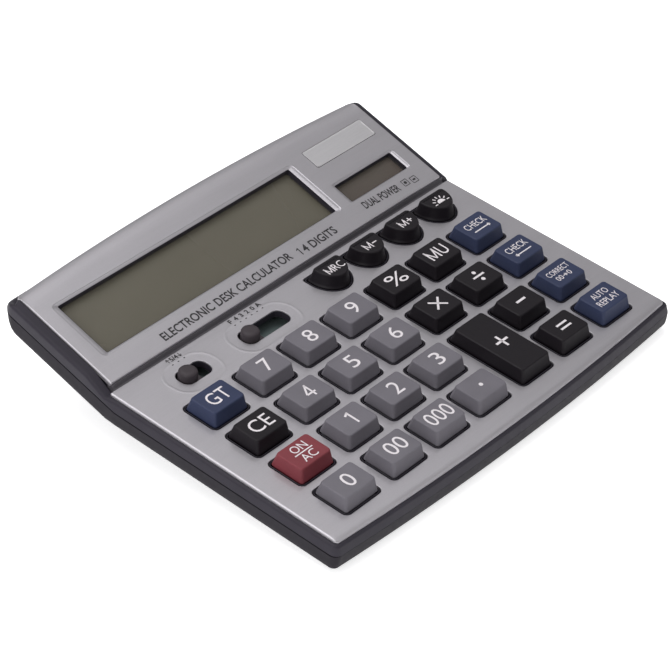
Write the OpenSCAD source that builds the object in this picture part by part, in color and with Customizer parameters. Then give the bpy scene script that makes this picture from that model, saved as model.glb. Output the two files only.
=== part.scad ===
// Desktop calculator with a tilted display, 31 keys and two slide switches.
// Origin: centre of the base, on the surface that the feet stand on. +X right, +Y rear, +Z up.
// The keypad plane and the display plane each have a frame of their own, both tilted about X.

/* [Case] */
// Width of the case over its seam
body_w = 158.5; // [156:0.5:162]
// Length of the case from the middle of its front to the middle of its rear
body_l = 133; // [132:0.5:136]
// Tilt of the keypad plane
key_tilt = 6.3; // [5.5:0.1:6.5]
// Further tilt of the display plane
display_bend = 14; // [13:0.5:15]
// Height of the keypad plane over the table, at the middle of the key rows
key_plane_z = 15.2; // [15:0.1:17]
// How far the front edge bulges between its corners
front_bulge = 2.8; // [1:0.2:4]
// How far the rear edge bulges between its corners
rear_bulge = 2.8; // [1:0.2:4]
// Radius of the case corners, seen from above
corner_r = 2.5; // [2:0.5:5]
// Thickness of the case walls
wall_t = 2.2; // [1.8:0.1:2.4]

/* [Keys] */
// Width of an ordinary key opening
opening_w = 15.9; // [15:0.1:16]
// Depth of an ordinary key opening
opening_d = 13.8; // [13:0.1:14]
// Distance between key rows
row_pitch = 16.4; // [16.2:0.1:16.6]
// Distance between the digit columns
digit_pitch = 19.45; // [19.4:0.05:19.5]
// Distance between the two operator columns
operator_pitch = 19.75; // [19.7:0.05:19.8]
// Height of the key tops over the keypad plate
key_h = 4.4; // [3:0.1:5]
// How far a key goes down
key_travel = 1.6; // [1:0.1:1.6]

/* [Display] */
// Width of the display window
lcd_w = 101.8; // [90:0.2:102]
// Depth of the display window
lcd_d = 21.2; // [16:0.2:22]
// Width of the solar window
solar_w = 27.3; // [20:0.1:28]
// Depth of the solar window
solar_d = 8; // [6:0.1:8.4]

/* [Hidden] */
$fn = 48;
eps = 0.01;
far = 200;

// Layers under the keypad plane, from its top down
plate_t = 1;
skin_t = 1.4;
display_skin_t = 1.6;
flange_gap = 0.1;
flange_t = 0.7;
dome_gap = 0.15;
dome_h = 0.45;
dome_r = 4.2;
mat_t = 0.5;
board_t = 1;
skin_z = -plate_t - skin_t;
display_skin_z = -plate_t - display_skin_t;
flange_z = skin_z - flange_gap;
key_bottom_z = flange_z - flange_t;
dome_z = key_bottom_z - key_travel - dome_gap;
mat_z = dome_z - dome_h;
board_z = mat_z - mat_t;
board_bottom_z = board_z - board_t;

// Case levels: the seam and the rim's underside, measured square to each plane
seam_key = -4.1;
seam_display = -4.8;
rim_key = -9;
rim_display = -10.2;
rim_floor_t = 1.6;
base_z = 1;
base_t = 1.6;

// The keypad frame and the display frame
key_field_front = 40;
key_origin_y = key_field_front - body_l / 2;
key_offset_x = 0.2;
bend_y = 52;
bend_z = 2.2;
display_tilt = key_tilt + display_bend;
display_front_v = -0.8;
riser_run = 0.7;
display_side = 3.85;
display_rear = 2.8;
display_corner_r = 1.5;
display_origin_y = key_origin_y + bend_y * cos(key_tilt) - bend_z * sin(key_tilt);
display_origin_z = key_plane_z + bend_y * sin(key_tilt) + bend_z * cos(key_tilt);
front_y = -body_l / 2;
rear_y = body_l / 2;

// Key columns, left to right, and rows, rear to front, in the keypad frame
side_gap = 20.6;
middle_gap = 20.4;
end_gap = 20.25;
column_steps = [0, side_gap, digit_pitch, digit_pitch, middle_gap, operator_pitch, end_gap];
column_span = side_gap + 2 * digit_pitch + middle_gap + operator_pitch + end_gap;
function column_x(i, k = 0, x = 0) = k > i ? x - column_span / 2 : column_x(i, k + 1, x + column_steps[k]);
function row_y(j) = (1.5 - j) * row_pitch;

// Key caps
key_gap = 0.4;
opening_r = 1.9;
cap_draft_x = 0.9;
cap_draft_y = 1.45;
cap_top_r = 1.5;
cap_wall = 1.2;
flange_w = 0.5;
plunger_r = 2;

// Each entry: name, column, row, rows spanned, colour
GREY = [0.46, 0.46, 0.47];
BLACK = [0.17, 0.16, 0.18];
BLUE = [0.20, 0.23, 0.34];
RED = [0.48, 0.22, 0.24];
SILVER = [0.66, 0.65, 0.66];
CASE = [0.23, 0.22, 0.25];
KEYS = [
    ["key_grand_total", 0, 0, 1, BLUE], ["key_clear_entry", 0, 1, 1, BLACK],
    ["key_on_all_clear", 0, 2, 1, RED], ["key_0", 0, 3, 1, GREY],
    ["key_7", 1, 0, 1, GREY], ["key_4", 1, 1, 1, GREY],
    ["key_1", 1, 2, 1, GREY], ["key_00", 1, 3, 1, GREY],
    ["key_8", 2, 0, 1, GREY], ["key_5", 2, 1, 1, GREY],
    ["key_2", 2, 2, 1, GREY], ["key_000", 2, 3, 1, GREY],
    ["key_9", 3, 0, 1, GREY], ["key_6", 3, 1, 1, GREY],
    ["key_3", 3, 2, 1, GREY], ["key_point", 3, 3, 1, GREY],
    ["key_percent", 4, 0, 1, BLACK], ["key_multiply", 4, 1, 1, BLACK], ["key_plus", 4, 2, 2, BLACK],
    ["key_mark_up", 5, 0, 1, BLACK], ["key_divide", 5, 1, 1, BLACK],
    ["key_minus", 5, 2, 1, BLACK], ["key_equals", 5, 3, 1, BLACK],
    ["key_check_forward", 6, 0, 1, BLUE], ["key_check_back", 6, 1, 1, BLUE],
    ["key_correct", 6, 2, 1, BLUE], ["key_auto_replay", 6, 3, 1, BLUE],
];

// The memory keys: a flat rear edge and a round front
MEMORY_KEYS = ["key_memory_recall", "key_memory_minus", "key_memory_plus", "key_backlight"];
memory_first_x = 10.4;
memory_pitch = 17;
memory_rear_y = 47.4;
memory_w = 15.2;
memory_d = 12.3;
memory_round_d = 9.2;
memory_top_inset = 1.8;
function memory_x(i) = memory_first_x + i * memory_pitch;

// The slide switches: slot centre, slot width and travel of the knob, in the keypad frame
slot_y = 40;
slot_d = 6.7;
slot_r = 2.6;
knob_r = 3;
knob_h = 2.6;
knob_flange = [10, 8.4, 0.8];
knob_stem = 4;
contact_t = 0.3;
contact_w = 5;
runner_r = 0.22;
runner_pitch = 1.6;
runner_drop = 0.2;
knob_foot_gap = 0.9;
rounding_slot = [-53.2, 11.8];
decimal_slot = [-22.5, 19.4];
slot_end_gap = 0.4;
function knob_rest_x(slot) = slot[0] - slot[1] / 2 + slot_end_gap + knob_r;

// Display parts, in the display frame
lcd_x = -17.4;
lcd_v = 19.1;
solar_x = 54.65;
solar_v = 12.2;
pane_lip = 2;
pane_t = 1;
pane_n = -1.9;
solar_pane_n = -1.6;
solar_pane_t = 0.8;
solar_cell_t = 1.5;
lcd_panel_t = 2.2;
lcd_panel_n = -3;
lcd_panel_size = [106, 26.5];
lcd_panel_v = 18.35;
holder_size = [108, 28.3];
holder_back_t = 1;
holder_back_v = 9;
badge_size = [28.1, 7.4, 0.3];
badge_pos = [56.25, 28.2];

// Boards, screws and bosses
board_x = [-69, 68];
board_y = [-33.2, 49];
mat_step = [2.5, 33.2];
board_boss_r = 1.5;
board_screw_r = 0.8;
board_screw_head = [1.7, 1];
case_boss_r = 2.4;
case_post_r = 2.8;
case_screw_r = 1.1;
case_screw_head = [2.1, 1.5];
case_screw_sink = 2;
head_gap = 0.2;
shank_gap = 0.15;
passage_h = 8;
thread_gap = 0.02;
hole_end = 0.8;
case_hole_end = 0.2;
boss_drop = 0.6;
tip_gap = 0.4;
post_gap = 0.1;
case_screw_x = 72.6;
case_screw_key_y = [-30, 33];
case_screw_display = [74.3, 29];

// Base, feet and battery
belly_x = 62;
belly_y = [key_origin_y - 33, key_origin_y + 73];
belly_r = 8;
belly_wall = 1.8;
foot_r = 5;
foot_sink = 0.8;
foot_gap = 0.1;
feet_pos = [[-50, -50.5], [50, -50.5], [-50, 37.5], [50, 37.5]];
cell_r = 7.25;
cell_l = 49.5;
nub_r = 2.75;
nub_l = 1;
cell_y = key_origin_y + 62.8;
cell_z = 10.3;
cell_x = -22.4;
bay_x = 28.9;
bay_y = [key_origin_y + 54, key_origin_y + 71.2];
bay_wall = 1.5;
bay_front_z = 12;
bay_end_z = 17.8;
door_gap = 0.3;
door_t = 1.6;
door_up_z = 12;
tongue_w = 1.8;
tongue_t = 0.8;
tongue_gap = 0.15;
tongue_rear_gap = 0.5;
contact_plate_t = 0.5;
contact_plate_w = 12;
spring_turns = 4;
spring_wire_r = 0.35;
spring_r = [5, 2.6];

// ---- Frames ----

// Places its children in the keypad frame, with X measured from the middle of the key columns
module on_keypad() {
    translate([key_offset_x, key_origin_y, key_plane_z]) rotate([key_tilt, 0, 0]) children();
}

// Places its children in the keypad frame, with X measured from the middle of the case
module on_keypad_centre() {
    translate([0, key_origin_y, key_plane_z]) rotate([key_tilt, 0, 0]) children();
}

// Places its children in the display frame, with X measured from the middle of the case
module on_display() {
    translate([0, display_origin_y, display_origin_z]) rotate([display_tilt, 0, 0]) children();
}

// Height of the plane h over the keypad plane, and of the plane n over the display plane
function key_line(y, h) = key_plane_z + (y - key_origin_y) * tan(key_tilt) + h / cos(key_tilt);
function display_line(y, n) =
    display_origin_z + (y - display_origin_y) * tan(display_tilt) + n / cos(display_tilt);

// Where those two planes meet
function bend_at(h, n) = (key_line(0, h) - display_line(0, n)) / (tan(display_tilt) - tan(key_tilt));

// ---- Outlines ----

function arc(centre, r, from, to, steps) =
    [for (i = [0:steps]) let(a = from + (to - from) * i / steps) centre + r * [cos(a), sin(a)]];

function rounded_rect(w, d, r, steps = 5) = concat(
    arc([w / 2 - r, d / 2 - r], r, 0, 90, steps),
    arc([r - w / 2, d / 2 - r], r, 90, 180, steps),
    arc([r - w / 2, r - d / 2], r, 180, 270, steps),
    arc([w / 2 - r, r - d / 2], r, 270, 360, steps)
);

// Radius of an arc that bulges by h over the half width w
function bulge_r(h, w) = (w * w + h * h) / (2 * h);

// One bulged end with its two round corners: half width, y of its top, bulge radius, corner radius
function bulged_end(w, y, big_r, r) =
    let(
        reach = sqrt((big_r - r) * (big_r - r) - (w - r) * (w - r)),
        centre_y = y - big_r,
        corner = [w - r, centre_y + reach],
        a = atan2(reach, w - r)
    )
    concat(
        arc(corner, r, 0, a, 5),
        arc([0, centre_y], big_r, a, 180 - a, 16),
        arc([-corner[0], corner[1]], r, 180 - a, 180, 5)
    );

function flip_y(points) = [for (p = points) [p[0], -p[1]]];
function reversed(points) = [for (i = [len(points) - 1:-1:0]) points[i]];

// The case seen from above, drawn in by inset all round
module case_outline(inset = 0) {
    w = body_w / 2 - inset;
    r = max(corner_r - inset, 1);
    rear = bulged_end(w, rear_y - inset, bulge_r(rear_bulge, body_w / 2) - inset, r);
    front = bulged_end(w, -front_y - inset, bulge_r(front_bulge, body_w / 2) - inset, r);
    polygon(concat(rear, reversed(flip_y(front))));
}

// A prism of the case outline, over its whole height
module case_prism(inset = 0) {
    linear_extrude(far / 2) case_outline(inset);
}

// A side view, given as [y, z] points, run across the case
module side_run(points, w = far) {
    translate([-w / 2, 0, 0]) rotate([90, 0, 90]) linear_extrude(w) polygon(points);
}

// A side view between an upper and a lower level of both planes
module band(key_top, display_top, key_low, display_low, step_y = 0) {
    top_bend = bend_at(key_top, display_top);
    low_bend = bend_at(key_low, display_low);
    y0 = front_y - 1;
    y1 = rear_y + 1;
    foot_y = step_y - riser_run;
    step = step_y == 0
        ? [[top_bend, key_line(top_bend, key_top)]]
        : [[step_y, display_line(step_y, display_top)], [foot_y, key_line(foot_y, key_top)]];
    side_run(concat(
        [[y0, key_line(y0, key_low)], [low_bend, key_line(low_bend, key_low)]],
        [[y1, display_line(y1, display_low)]],
        [[y1, display_line(y1, display_top)]],
        step,
        [[y0, key_line(y0, key_top)]]
    ));
}

// ---- Key shapes ----

function span_d(rows) = opening_d + (rows - 1) * row_pitch;
function span_y(row, rows) = (row_y(row) + row_y(row + rows - 1)) / 2;

module key_opening(rows, grow = 0) {
    polygon(rounded_rect(opening_w + 2 * grow, span_d(rows) + 2 * grow, opening_r + grow));
}

// A flat-backed key seen from above, its rear edge on y = 0, drawn in by inset all round
module memory_shape(inset = 0) {
    w = memory_w - 2 * inset;
    straight = memory_d - memory_round_d;
    half_ellipse = [for (i = [0:16]) [w / 2 * cos(180 + 180 * i / 16),
        -straight + (memory_round_d - inset) * sin(180 + 180 * i / 16)]];
    rear = [[w / 2, -inset - 1], [w / 2 - 1, -inset], [1 - w / 2, -inset], [-w / 2, -inset - 1]];
    polygon(concat(half_ellipse, rear));
}

// All the openings in the keypad: keys, memory keys and switch slots
module keypad_openings() {
    for (k = KEYS) translate([column_x(k[1]), span_y(k[2], k[3])]) key_opening(k[3]);
    for (i = [0:3]) translate([memory_x(i), memory_rear_y]) memory_shape();
    for (s = [rounding_slot, decimal_slot])
        translate([s[0], slot_y]) polygon(rounded_rect(s[1], slot_d, slot_r));
}

// A key cap: flange, straight neck and drafted top, hollow below, with a plunger over its dome
module key_cap(rows, colour) {
    w = opening_w - 2 * key_gap;
    d = span_d(rows) - 2 * key_gap;
    neck_r = opening_r - key_gap;
    color(colour) {
        difference() {
            union() {
                translate([0, 0, key_bottom_z])
                    linear_extrude(flange_t) key_opening(rows, flange_w);
                translate([0, 0, key_bottom_z])
                    linear_extrude(-key_bottom_z + eps) polygon(rounded_rect(w, d, neck_r));
                hull() {
                    linear_extrude(eps) polygon(rounded_rect(w, d, neck_r));
                    translate([0, 0, key_h - eps]) linear_extrude(eps)
                        polygon(rounded_rect(w - 2 * cap_draft_x, d - 2 * cap_draft_y, cap_top_r));
                }
            }
            translate([0, 0, key_bottom_z - eps])
                linear_extrude(key_h - cap_wall - key_bottom_z)
                    square([w - 4 * cap_wall, d - 4 * cap_wall], center = true);
        }
        translate([0, 0, key_bottom_z]) cylinder(r = plunger_r, h = key_h - cap_wall - key_bottom_z);
    }
}

module placed_key(k) {
    on_keypad() translate([column_x(k[1]), span_y(k[2], k[3]), 0]) key_cap(k[3], k[4]);
}

module memory_key(i) {
    color(BLACK) on_keypad() translate([memory_x(i), memory_rear_y, 0]) difference() {
        union() {
            translate([0, 0, key_bottom_z]) linear_extrude(flange_t) memory_shape(-flange_w);
            translate([0, 0, key_bottom_z]) linear_extrude(-key_bottom_z + eps) memory_shape(key_gap);
            hull() {
                linear_extrude(eps) memory_shape(key_gap);
                translate([0, 0, key_h - eps]) linear_extrude(eps) memory_shape(memory_top_inset);
            }
        }
        translate([0, -memory_d / 2, key_bottom_z - eps])
            cylinder(r = memory_d / 2 - 2 * cap_wall, h = key_h - cap_wall - key_bottom_z);
    }
}

// ---- Case ----

function board_screw_x() = [
    (column_x(0) + column_x(1)) / 2, (column_x(3) + column_x(4)) / 2, (column_x(5) + column_x(6)) / 2
];
board_screw_y = [row_pitch, -row_pitch];

module at_board_screws() {
    for (x = board_screw_x(), y = board_screw_y) on_keypad() translate([x, y, 0]) children();
}

// Places child 0 at the four keypad-side case screws and child 1 at the two display-side ones
module at_case_screws() {
    for (x = [-case_screw_x, case_screw_x], y = case_screw_key_y)
        on_keypad_centre() translate([x, y, 0]) children(0);
    for (x = [-case_screw_display[0], case_screw_display[0]])
        on_display() translate([x, case_screw_display[1], 0]) children(1);
}

// A round post between two levels, with a pilot hole from below up to a third level
module drilled(r, low, high, hole_r, hole_high) {
    difference() {
        translate([0, 0, low]) cylinder(r = r, h = high - low);
        translate([0, 0, low - 1]) cylinder(r = hole_r, h = hole_high - low + 1);
    }
}

module case_boss(low, high) {
    drilled(case_boss_r, low, high + eps, case_screw_r + thread_gap, high - case_hole_end);
}

module display_window(w, d, r, grow, low, high) {
    translate([0, 0, low]) linear_extrude(high - low) polygon(rounded_rect(w + 2 * grow, d + 2 * grow, r));
}

module upper_case() {
    step_y = display_origin_y + display_front_v;
    color(CASE) {
        difference() {
            intersection() {
                band(-plate_t, -plate_t, seam_key, seam_display, step_y);
                case_prism();
            }
            intersection() {
                band(skin_z, display_skin_z, seam_key - 1, seam_display - 1, step_y + wall_t);
                case_prism(wall_t);
            }
            on_keypad() translate([0, 0, skin_z - 1]) linear_extrude(skin_t + 2) keypad_openings();
            on_display() {
                translate([lcd_x, lcd_v, 0]) {
                    display_window(lcd_w, lcd_d, 1, 0, display_skin_z - 1, 0);
                    display_window(lcd_w, lcd_d, 1, pane_lip + 0.1, display_skin_z - 1, pane_n);
                }
                translate([solar_x, solar_v, 0]) {
                    display_window(solar_w, solar_d, 0.8, 0, display_skin_z - 1, 0);
                    display_window(solar_w, solar_d, 0.8, pane_lip + 0.1, display_skin_z - 1, solar_pane_n);
                }
            }
        }
        at_board_screws()
            drilled(board_boss_r, board_z, skin_z + eps, board_screw_r + thread_gap, skin_z - hole_end);
        at_case_screws() {
            case_boss(seam_key - boss_drop, skin_z);
            case_boss(seam_display - boss_drop, display_skin_z);
        }
    }
}

// The belly under the rim, drawn in by inset, from z up
module belly(inset, z) {
    d = belly_y[1] - belly_y[0] - 2 * inset;
    translate([0, (belly_y[0] + belly_y[1]) / 2, z])
        linear_extrude(far / 4) polygon(rounded_rect(2 * (belly_x - inset), d, belly_r - inset));
}

// The space between a level of both planes and far below them
module below_level(key_level, display_level) {
    band(key_level, display_level, -far / 2, -far / 2);
}

module battery_bay() {
    y0 = bay_y[0] - bay_wall;
    end_w = tongue_w + tongue_gap + bay_wall;
    for (s = [-1, 1])
        translate([s > 0 ? bay_x : -bay_x - end_w, y0, base_z])
            cube([end_w, belly_y[1] - belly_wall - y0 + eps, bay_end_z - base_z]);
    translate([-bay_x - eps, y0, base_z]) cube([2 * bay_x + 2 * eps, bay_wall, bay_front_z - base_z]);
}

// What the door needs: its opening in the base and rear wall, and the grooves for its tongues
module door_cut() {
    y0 = bay_y[0] - door_gap / 2;
    l = far / 4;
    groove_x = bay_x + tongue_w + tongue_gap;
    groove_low = base_z + door_t - tongue_t - tongue_gap;
    translate([-bay_x, y0, base_z - 1]) cube([2 * bay_x, l, base_t + 1 + eps]);
    translate([-bay_x, belly_y[1] - belly_wall - 1, 0]) cube([2 * bay_x, l, door_up_z + door_gap]);
    translate([-groove_x, y0, groove_low]) cube([2 * groove_x, l, tongue_t + 2 * tongue_gap]);
}

module lower_case() {
    color(CASE) difference() {
        union() {
            difference() {
                union() {
                    intersection() {
                        band(seam_key, seam_display, rim_key, rim_display);
                        case_prism();
                    }
                    intersection() {
                        below_level(rim_key + eps, rim_display + eps);
                        belly(0, base_z);
                    }
                }
                intersection() {
                    band(1, 1, rim_key + rim_floor_t, rim_display + rim_floor_t);
                    case_prism(wall_t);
                }
                intersection() {
                    below_level(0, 0);
                    belly(belly_wall, base_z + base_t);
                }
            }
            battery_bay();
            at_case_screws() {
                case_post(rim_key, seam_key - boss_drop - post_gap);
                case_post(rim_display, seam_display - boss_drop - post_gap);
            }
        }
        door_cut();
        for (p = feet_pos)
            translate([p[0], p[1], base_z - 1]) cylinder(r = foot_r + foot_gap, h = 1 + foot_sink);
        at_case_screws() {
            screw_passage(rim_key);
            screw_passage(rim_display);
        }
    }
}

module case_post(low, high) {
    translate([0, 0, low + eps]) cylinder(r = case_post_r, h = high - low);
}

// Clearance for one case screw, from the rim's underside up
module screw_passage(level) {
    translate([0, 0, level - 1]) cylinder(r = case_screw_head[0] + head_gap, h = case_screw_sink + 1);
    translate([0, 0, level]) cylinder(r = case_screw_r + shank_gap, h = passage_h);
}

// ---- Faceplates and badge ----

faceplate_inset = 1.8;
plate_rear_gap = 2;

module keypad_faceplate() {
    rear = bend_y - plate_rear_gap;
    color(SILVER) difference() {
        intersection() {
            on_keypad_centre() translate([-far / 2, -far, -plate_t]) cube([far, far + rear, plate_t]);
            case_prism(faceplate_inset);
        }
        on_keypad() translate([0, 0, -plate_t - 1]) linear_extrude(plate_t + 2) keypad_openings();
    }
}

module display_faceplate() {
    w = body_w / 2 - display_side;
    rear_v = (rear_y - display_rear - display_origin_y) / cos(display_tilt);
    front = [[-w, display_front_v], [w, display_front_v]];
    outline = concat(front, bulged_end(w, rear_v, bulge_r(rear_bulge, w), display_corner_r));
    color(SILVER) on_display() translate([0, 0, -plate_t]) linear_extrude(plate_t) difference() {
        polygon(outline);
        translate([lcd_x, lcd_v]) polygon(rounded_rect(lcd_w, lcd_d, 1));
        translate([solar_x, solar_v]) polygon(rounded_rect(solar_w, solar_d, 0.8));
    }
}

module badge_plate() {
    color([0.72, 0.71, 0.72]) on_display() translate([badge_pos[0], badge_pos[1], 0])
        linear_extrude(badge_size[2]) polygon(rounded_rect(badge_size[0], badge_size[1], 0.6));
}

// ---- Display ----

module lcd_window() {
    color([0.55, 0.56, 0.50]) on_display() translate([lcd_x, lcd_v, 0])
        display_window(lcd_w, lcd_d, 1, pane_lip, pane_n - pane_t, pane_n);
}

module lcd_panel() {
    color([0.39, 0.38, 0.33]) on_display()
        translate([lcd_x, lcd_panel_v, lcd_panel_n - lcd_panel_t / 2])
            cube([lcd_panel_size[0], lcd_panel_size[1], lcd_panel_t], center = true);
}

// A frame round the panel with an open ledge at the front, where the ribbon joins it
module lcd_holder() {
    top = lcd_panel_n;
    low = lcd_panel_n - lcd_panel_t - holder_back_t;
    x0 = lcd_x - holder_size[0] / 2;
    y0 = lcd_panel_v - holder_size[1] / 2;
    color([0.82, 0.81, 0.78]) on_display() difference() {
        translate([x0, y0, low]) cube([holder_size[0], holder_size[1], top - low]);
        translate([lcd_x - lcd_panel_size[0] / 2, lcd_panel_v - lcd_panel_size[1] / 2, low + holder_back_t])
            cube([lcd_panel_size[0], lcd_panel_size[1], far]);
        translate([lcd_x - lcd_panel_size[0] / 2, y0 - 1, low - 1])
            cube([lcd_panel_size[0], holder_back_v - y0 + 1, holder_back_t + 1 + eps]);
    }
}

module solar_window() {
    color([0.45, 0.42, 0.40]) on_display() translate([solar_x, solar_v, 0])
        display_window(solar_w, solar_d, 0.8, pane_lip, solar_pane_n - solar_pane_t, solar_pane_n);
}

module solar_cell() {
    top = solar_pane_n - solar_pane_t - 0.1;
    color([0.25, 0.20, 0.18]) on_display()
        translate([solar_x - solar_w / 2 - 1, solar_v - solar_d / 2 - 1, top - solar_cell_t])
            cube([solar_w + 2, solar_d + 2, solar_cell_t]);
}

// ---- Keypad electronics ----

module board_outline(x, y) {
    translate([x[0], y[0]]) square([x[1] - x[0], y[1] - y[0]]);
}

// The rubber sheet under the keys, with a dome below each plunger
module key_mat() {
    color([0.75, 0.74, 0.70]) on_keypad() {
        translate([0, 0, board_z]) linear_extrude(mat_t) difference() {
            union() {
                board_outline([board_x[0] + 1, board_x[1] - 0.5], [board_y[0] + 0.5, mat_step[1]]);
                board_outline([mat_step[0], board_x[1] - 0.5], [mat_step[1] - eps, board_y[1] - 0.5]);
            }
            for (x = board_screw_x(), y = board_screw_y) translate([x, y]) circle(r = board_boss_r + 0.3);
        }
        for (k = KEYS) translate([column_x(k[1]), span_y(k[2], k[3]), mat_z - eps]) dome();
        for (i = [0:3]) translate([memory_x(i), memory_rear_y - memory_d / 2, mat_z - eps]) dome();
    }
}

module dome() {
    cylinder(r = dome_r, h = dome_h);
}

module main_board() {
    color([0.10, 0.28, 0.17]) on_keypad() translate([0, 0, board_bottom_z]) linear_extrude(board_t)
        difference() {
            board_outline(board_x, board_y);
            for (x = board_screw_x(), y = board_screw_y) translate([x, y]) circle(r = board_screw_r + 0.1);
        }
}

chip_pos = [12, 30];
chip_r = 7;
chip_h = 1.2;
chip_steps = 180;

// The bonded chip under its epoxy dome, on the board's underside
module controller_chip() {
    ball_r = (chip_r * chip_r + chip_h * chip_h) / (2 * chip_h);
    color([0.08, 0.08, 0.08]) on_keypad() translate([chip_pos[0], chip_pos[1], board_bottom_z])
        intersection() {
            translate([0, 0, ball_r - chip_h]) sphere(r = ball_r, $fn = chip_steps);
            translate([0, 0, -chip_h]) cylinder(r = chip_r, h = chip_h);
        }
}

ribbon_t = 0.3;
ribbon_w = 20;

function display_point(v, n) = [
    display_origin_y + v * cos(display_tilt) - n * sin(display_tilt),
    display_origin_z + v * sin(display_tilt) + n * cos(display_tilt)
];
function keypad_point(y, z) = [
    key_origin_y + y * cos(key_tilt) - z * sin(key_tilt),
    key_plane_z + y * sin(key_tilt) + z * cos(key_tilt)
];

// The flat cable from the board's rear edge to the display panel's ledge
module display_ribbon() {
    panel_back = lcd_panel_n - lcd_panel_t;
    low = [keypad_point(44, board_bottom_z - ribbon_t), keypad_point(49.4, board_bottom_z - ribbon_t),
        display_point(5.6, panel_back - ribbon_t - 0.4), display_point(8.4, panel_back - ribbon_t)];
    high = [display_point(8.4, panel_back), display_point(5.4, panel_back),
        keypad_point(49.2, board_bottom_z), keypad_point(44, board_bottom_z)];
    color([0.80, 0.62, 0.30]) translate([lcd_x, 0, 0]) side_run(concat(low, high), ribbon_w);
}

wire_r = 0.5;
wire_bend_r = 0.58;

// A wire made of straight runs between points, rounded at the bends
module wire(points) {
    for (i = [0:len(points) - 2]) {
        run = points[i + 1] - points[i];
        translate(points[i])
            rotate([0, acos(run[2] / norm(run)), atan2(run[1], run[0])])
                cylinder(r = wire_r, h = norm(run), $fn = 24);
    }
    for (i = [1:len(points) - 2]) translate(points[i]) sphere(r = wire_bend_r, $fn = 24);
}

function lift(x, yz) = [x, yz[0], yz[1]];

module solar_leads() {
    under_cell = solar_pane_n - solar_pane_t - 0.1 - solar_cell_t;
    color([0.70, 0.15, 0.12]) for (dx = [-3, 3])
        wire([lift(solar_x + dx, display_point(solar_v, under_cell)),
            lift(solar_x + dx, display_point(solar_v, under_cell - 2)),
            lift(solar_x + dx - 6, keypad_point(52.5, board_bottom_z + 0.5)),
            lift(solar_x + dx - 6, keypad_point(49 + wire_r, board_bottom_z + 0.5))]);
}

module battery_leads() {
    lead_z = cell_z + 4;
    lead_y = key_origin_y + 51.5;
    color([0.12, 0.12, 0.12]) for (s = [-1, 1])
        wire([[s * (bay_x + 4), cell_y - 4, lead_z - 1], [s * (bay_x + 4), lead_y, lead_z - 1],
            lift(s * (bay_x + 4), keypad_point(49 + wire_r, board_bottom_z + 0.5))]);
}

// ---- Switches ----

module switch_knob(slot) {
    x = knob_rest_x(slot);
    color([0.27, 0.25, 0.27]) on_keypad() translate([x, slot_y, 0]) {
        translate([0, 0, flange_z - eps]) cylinder(r = knob_r, h = knob_h - flange_z + eps);
        translate([-knob_flange[0] / 2, -knob_flange[1] / 2, flange_z - knob_flange[2]]) cube(knob_flange);
        translate([-knob_stem / 2, -knob_stem / 2, board_z + knob_foot_gap])
            cube([knob_stem, knob_stem, flange_z - knob_flange[2] - board_z - knob_foot_gap + eps]);
    }
}

// The wiper under a knob: a plate with three runners just over the board
module switch_contact(slot) {
    x = knob_rest_x(slot);
    color([0.80, 0.68, 0.35]) on_keypad() translate([x, slot_y, board_z + knob_foot_gap - contact_t]) {
        translate([-contact_w / 2, -contact_w / 2, 0]) cube([contact_w, contact_w, contact_t]);
        for (y = [-1, 0, 1] * runner_pitch)
            translate([-contact_w / 2, y, -runner_drop])
                rotate([0, 90, 0]) cylinder(r = runner_r, h = contact_w, $fn = 24);
    }
}

module rounding_switch_knob() {
    switch_knob(rounding_slot);
}

module rounding_switch_contact() {
    switch_contact(rounding_slot);
}

module decimal_switch_knob() {
    switch_knob(decimal_slot);
}

module decimal_switch_contact() {
    switch_contact(decimal_slot);
}

// ---- Battery ----

module battery_cell() {
    color([0.55, 0.57, 0.60]) translate([cell_x, cell_y, cell_z]) rotate([0, 90, 0]) {
        cylinder(r = cell_r, h = cell_l);
        translate([0, 0, cell_l - eps]) cylinder(r = nub_r, h = nub_l + eps);
    }
}

module contact_plate(x) {
    translate([x, cell_y - contact_plate_w / 2, cell_z - contact_plate_w / 2])
        cube([contact_plate_t, contact_plate_w, contact_plate_w]);
}

// A tube that follows a tapering coil along X
module coil(length, radii, turns) {
    steps = turns * 18;
    sides = 8;
    function centre(i) = [
        length * i / steps,
        (radii[0] + (radii[1] - radii[0]) * i / steps) * cos(360 * turns * i / steps),
        (radii[0] + (radii[1] - radii[0]) * i / steps) * sin(360 * turns * i / steps)
    ];
    function out(i) = [0, cos(360 * turns * i / steps), sin(360 * turns * i / steps)];
    points = [for (i = [0:steps], j = [0:sides - 1])
        centre(i) + spring_wire_r * (cos(360 * j / sides) * out(i) + [sin(360 * j / sides), 0, 0])];
    walls = [for (i = [0:steps - 1], j = [0:sides - 1]) let(k = (j + 1) % sides)
        [i * sides + j, i * sides + k, (i + 1) * sides + k, (i + 1) * sides + j]];
    ends = [[for (j = [sides - 1:-1:0]) j], [for (j = [0:sides - 1]) steps * sides + j]];
    polyhedron(points, concat(walls, ends), convexity = 4);
}

module battery_spring() {
    plate_x = -bay_x + 0.1;
    spring_x = plate_x + contact_plate_t + spring_wire_r;
    color([0.75, 0.75, 0.77]) {
        contact_plate(plate_x);
        translate([spring_x - 0.1, cell_y, cell_z])
            coil(cell_x - spring_x - spring_wire_r, spring_r, spring_turns);
    }
}

module battery_contact() {
    color([0.75, 0.75, 0.77]) contact_plate(cell_x + cell_l + nub_l + 0.02);
}

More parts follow.
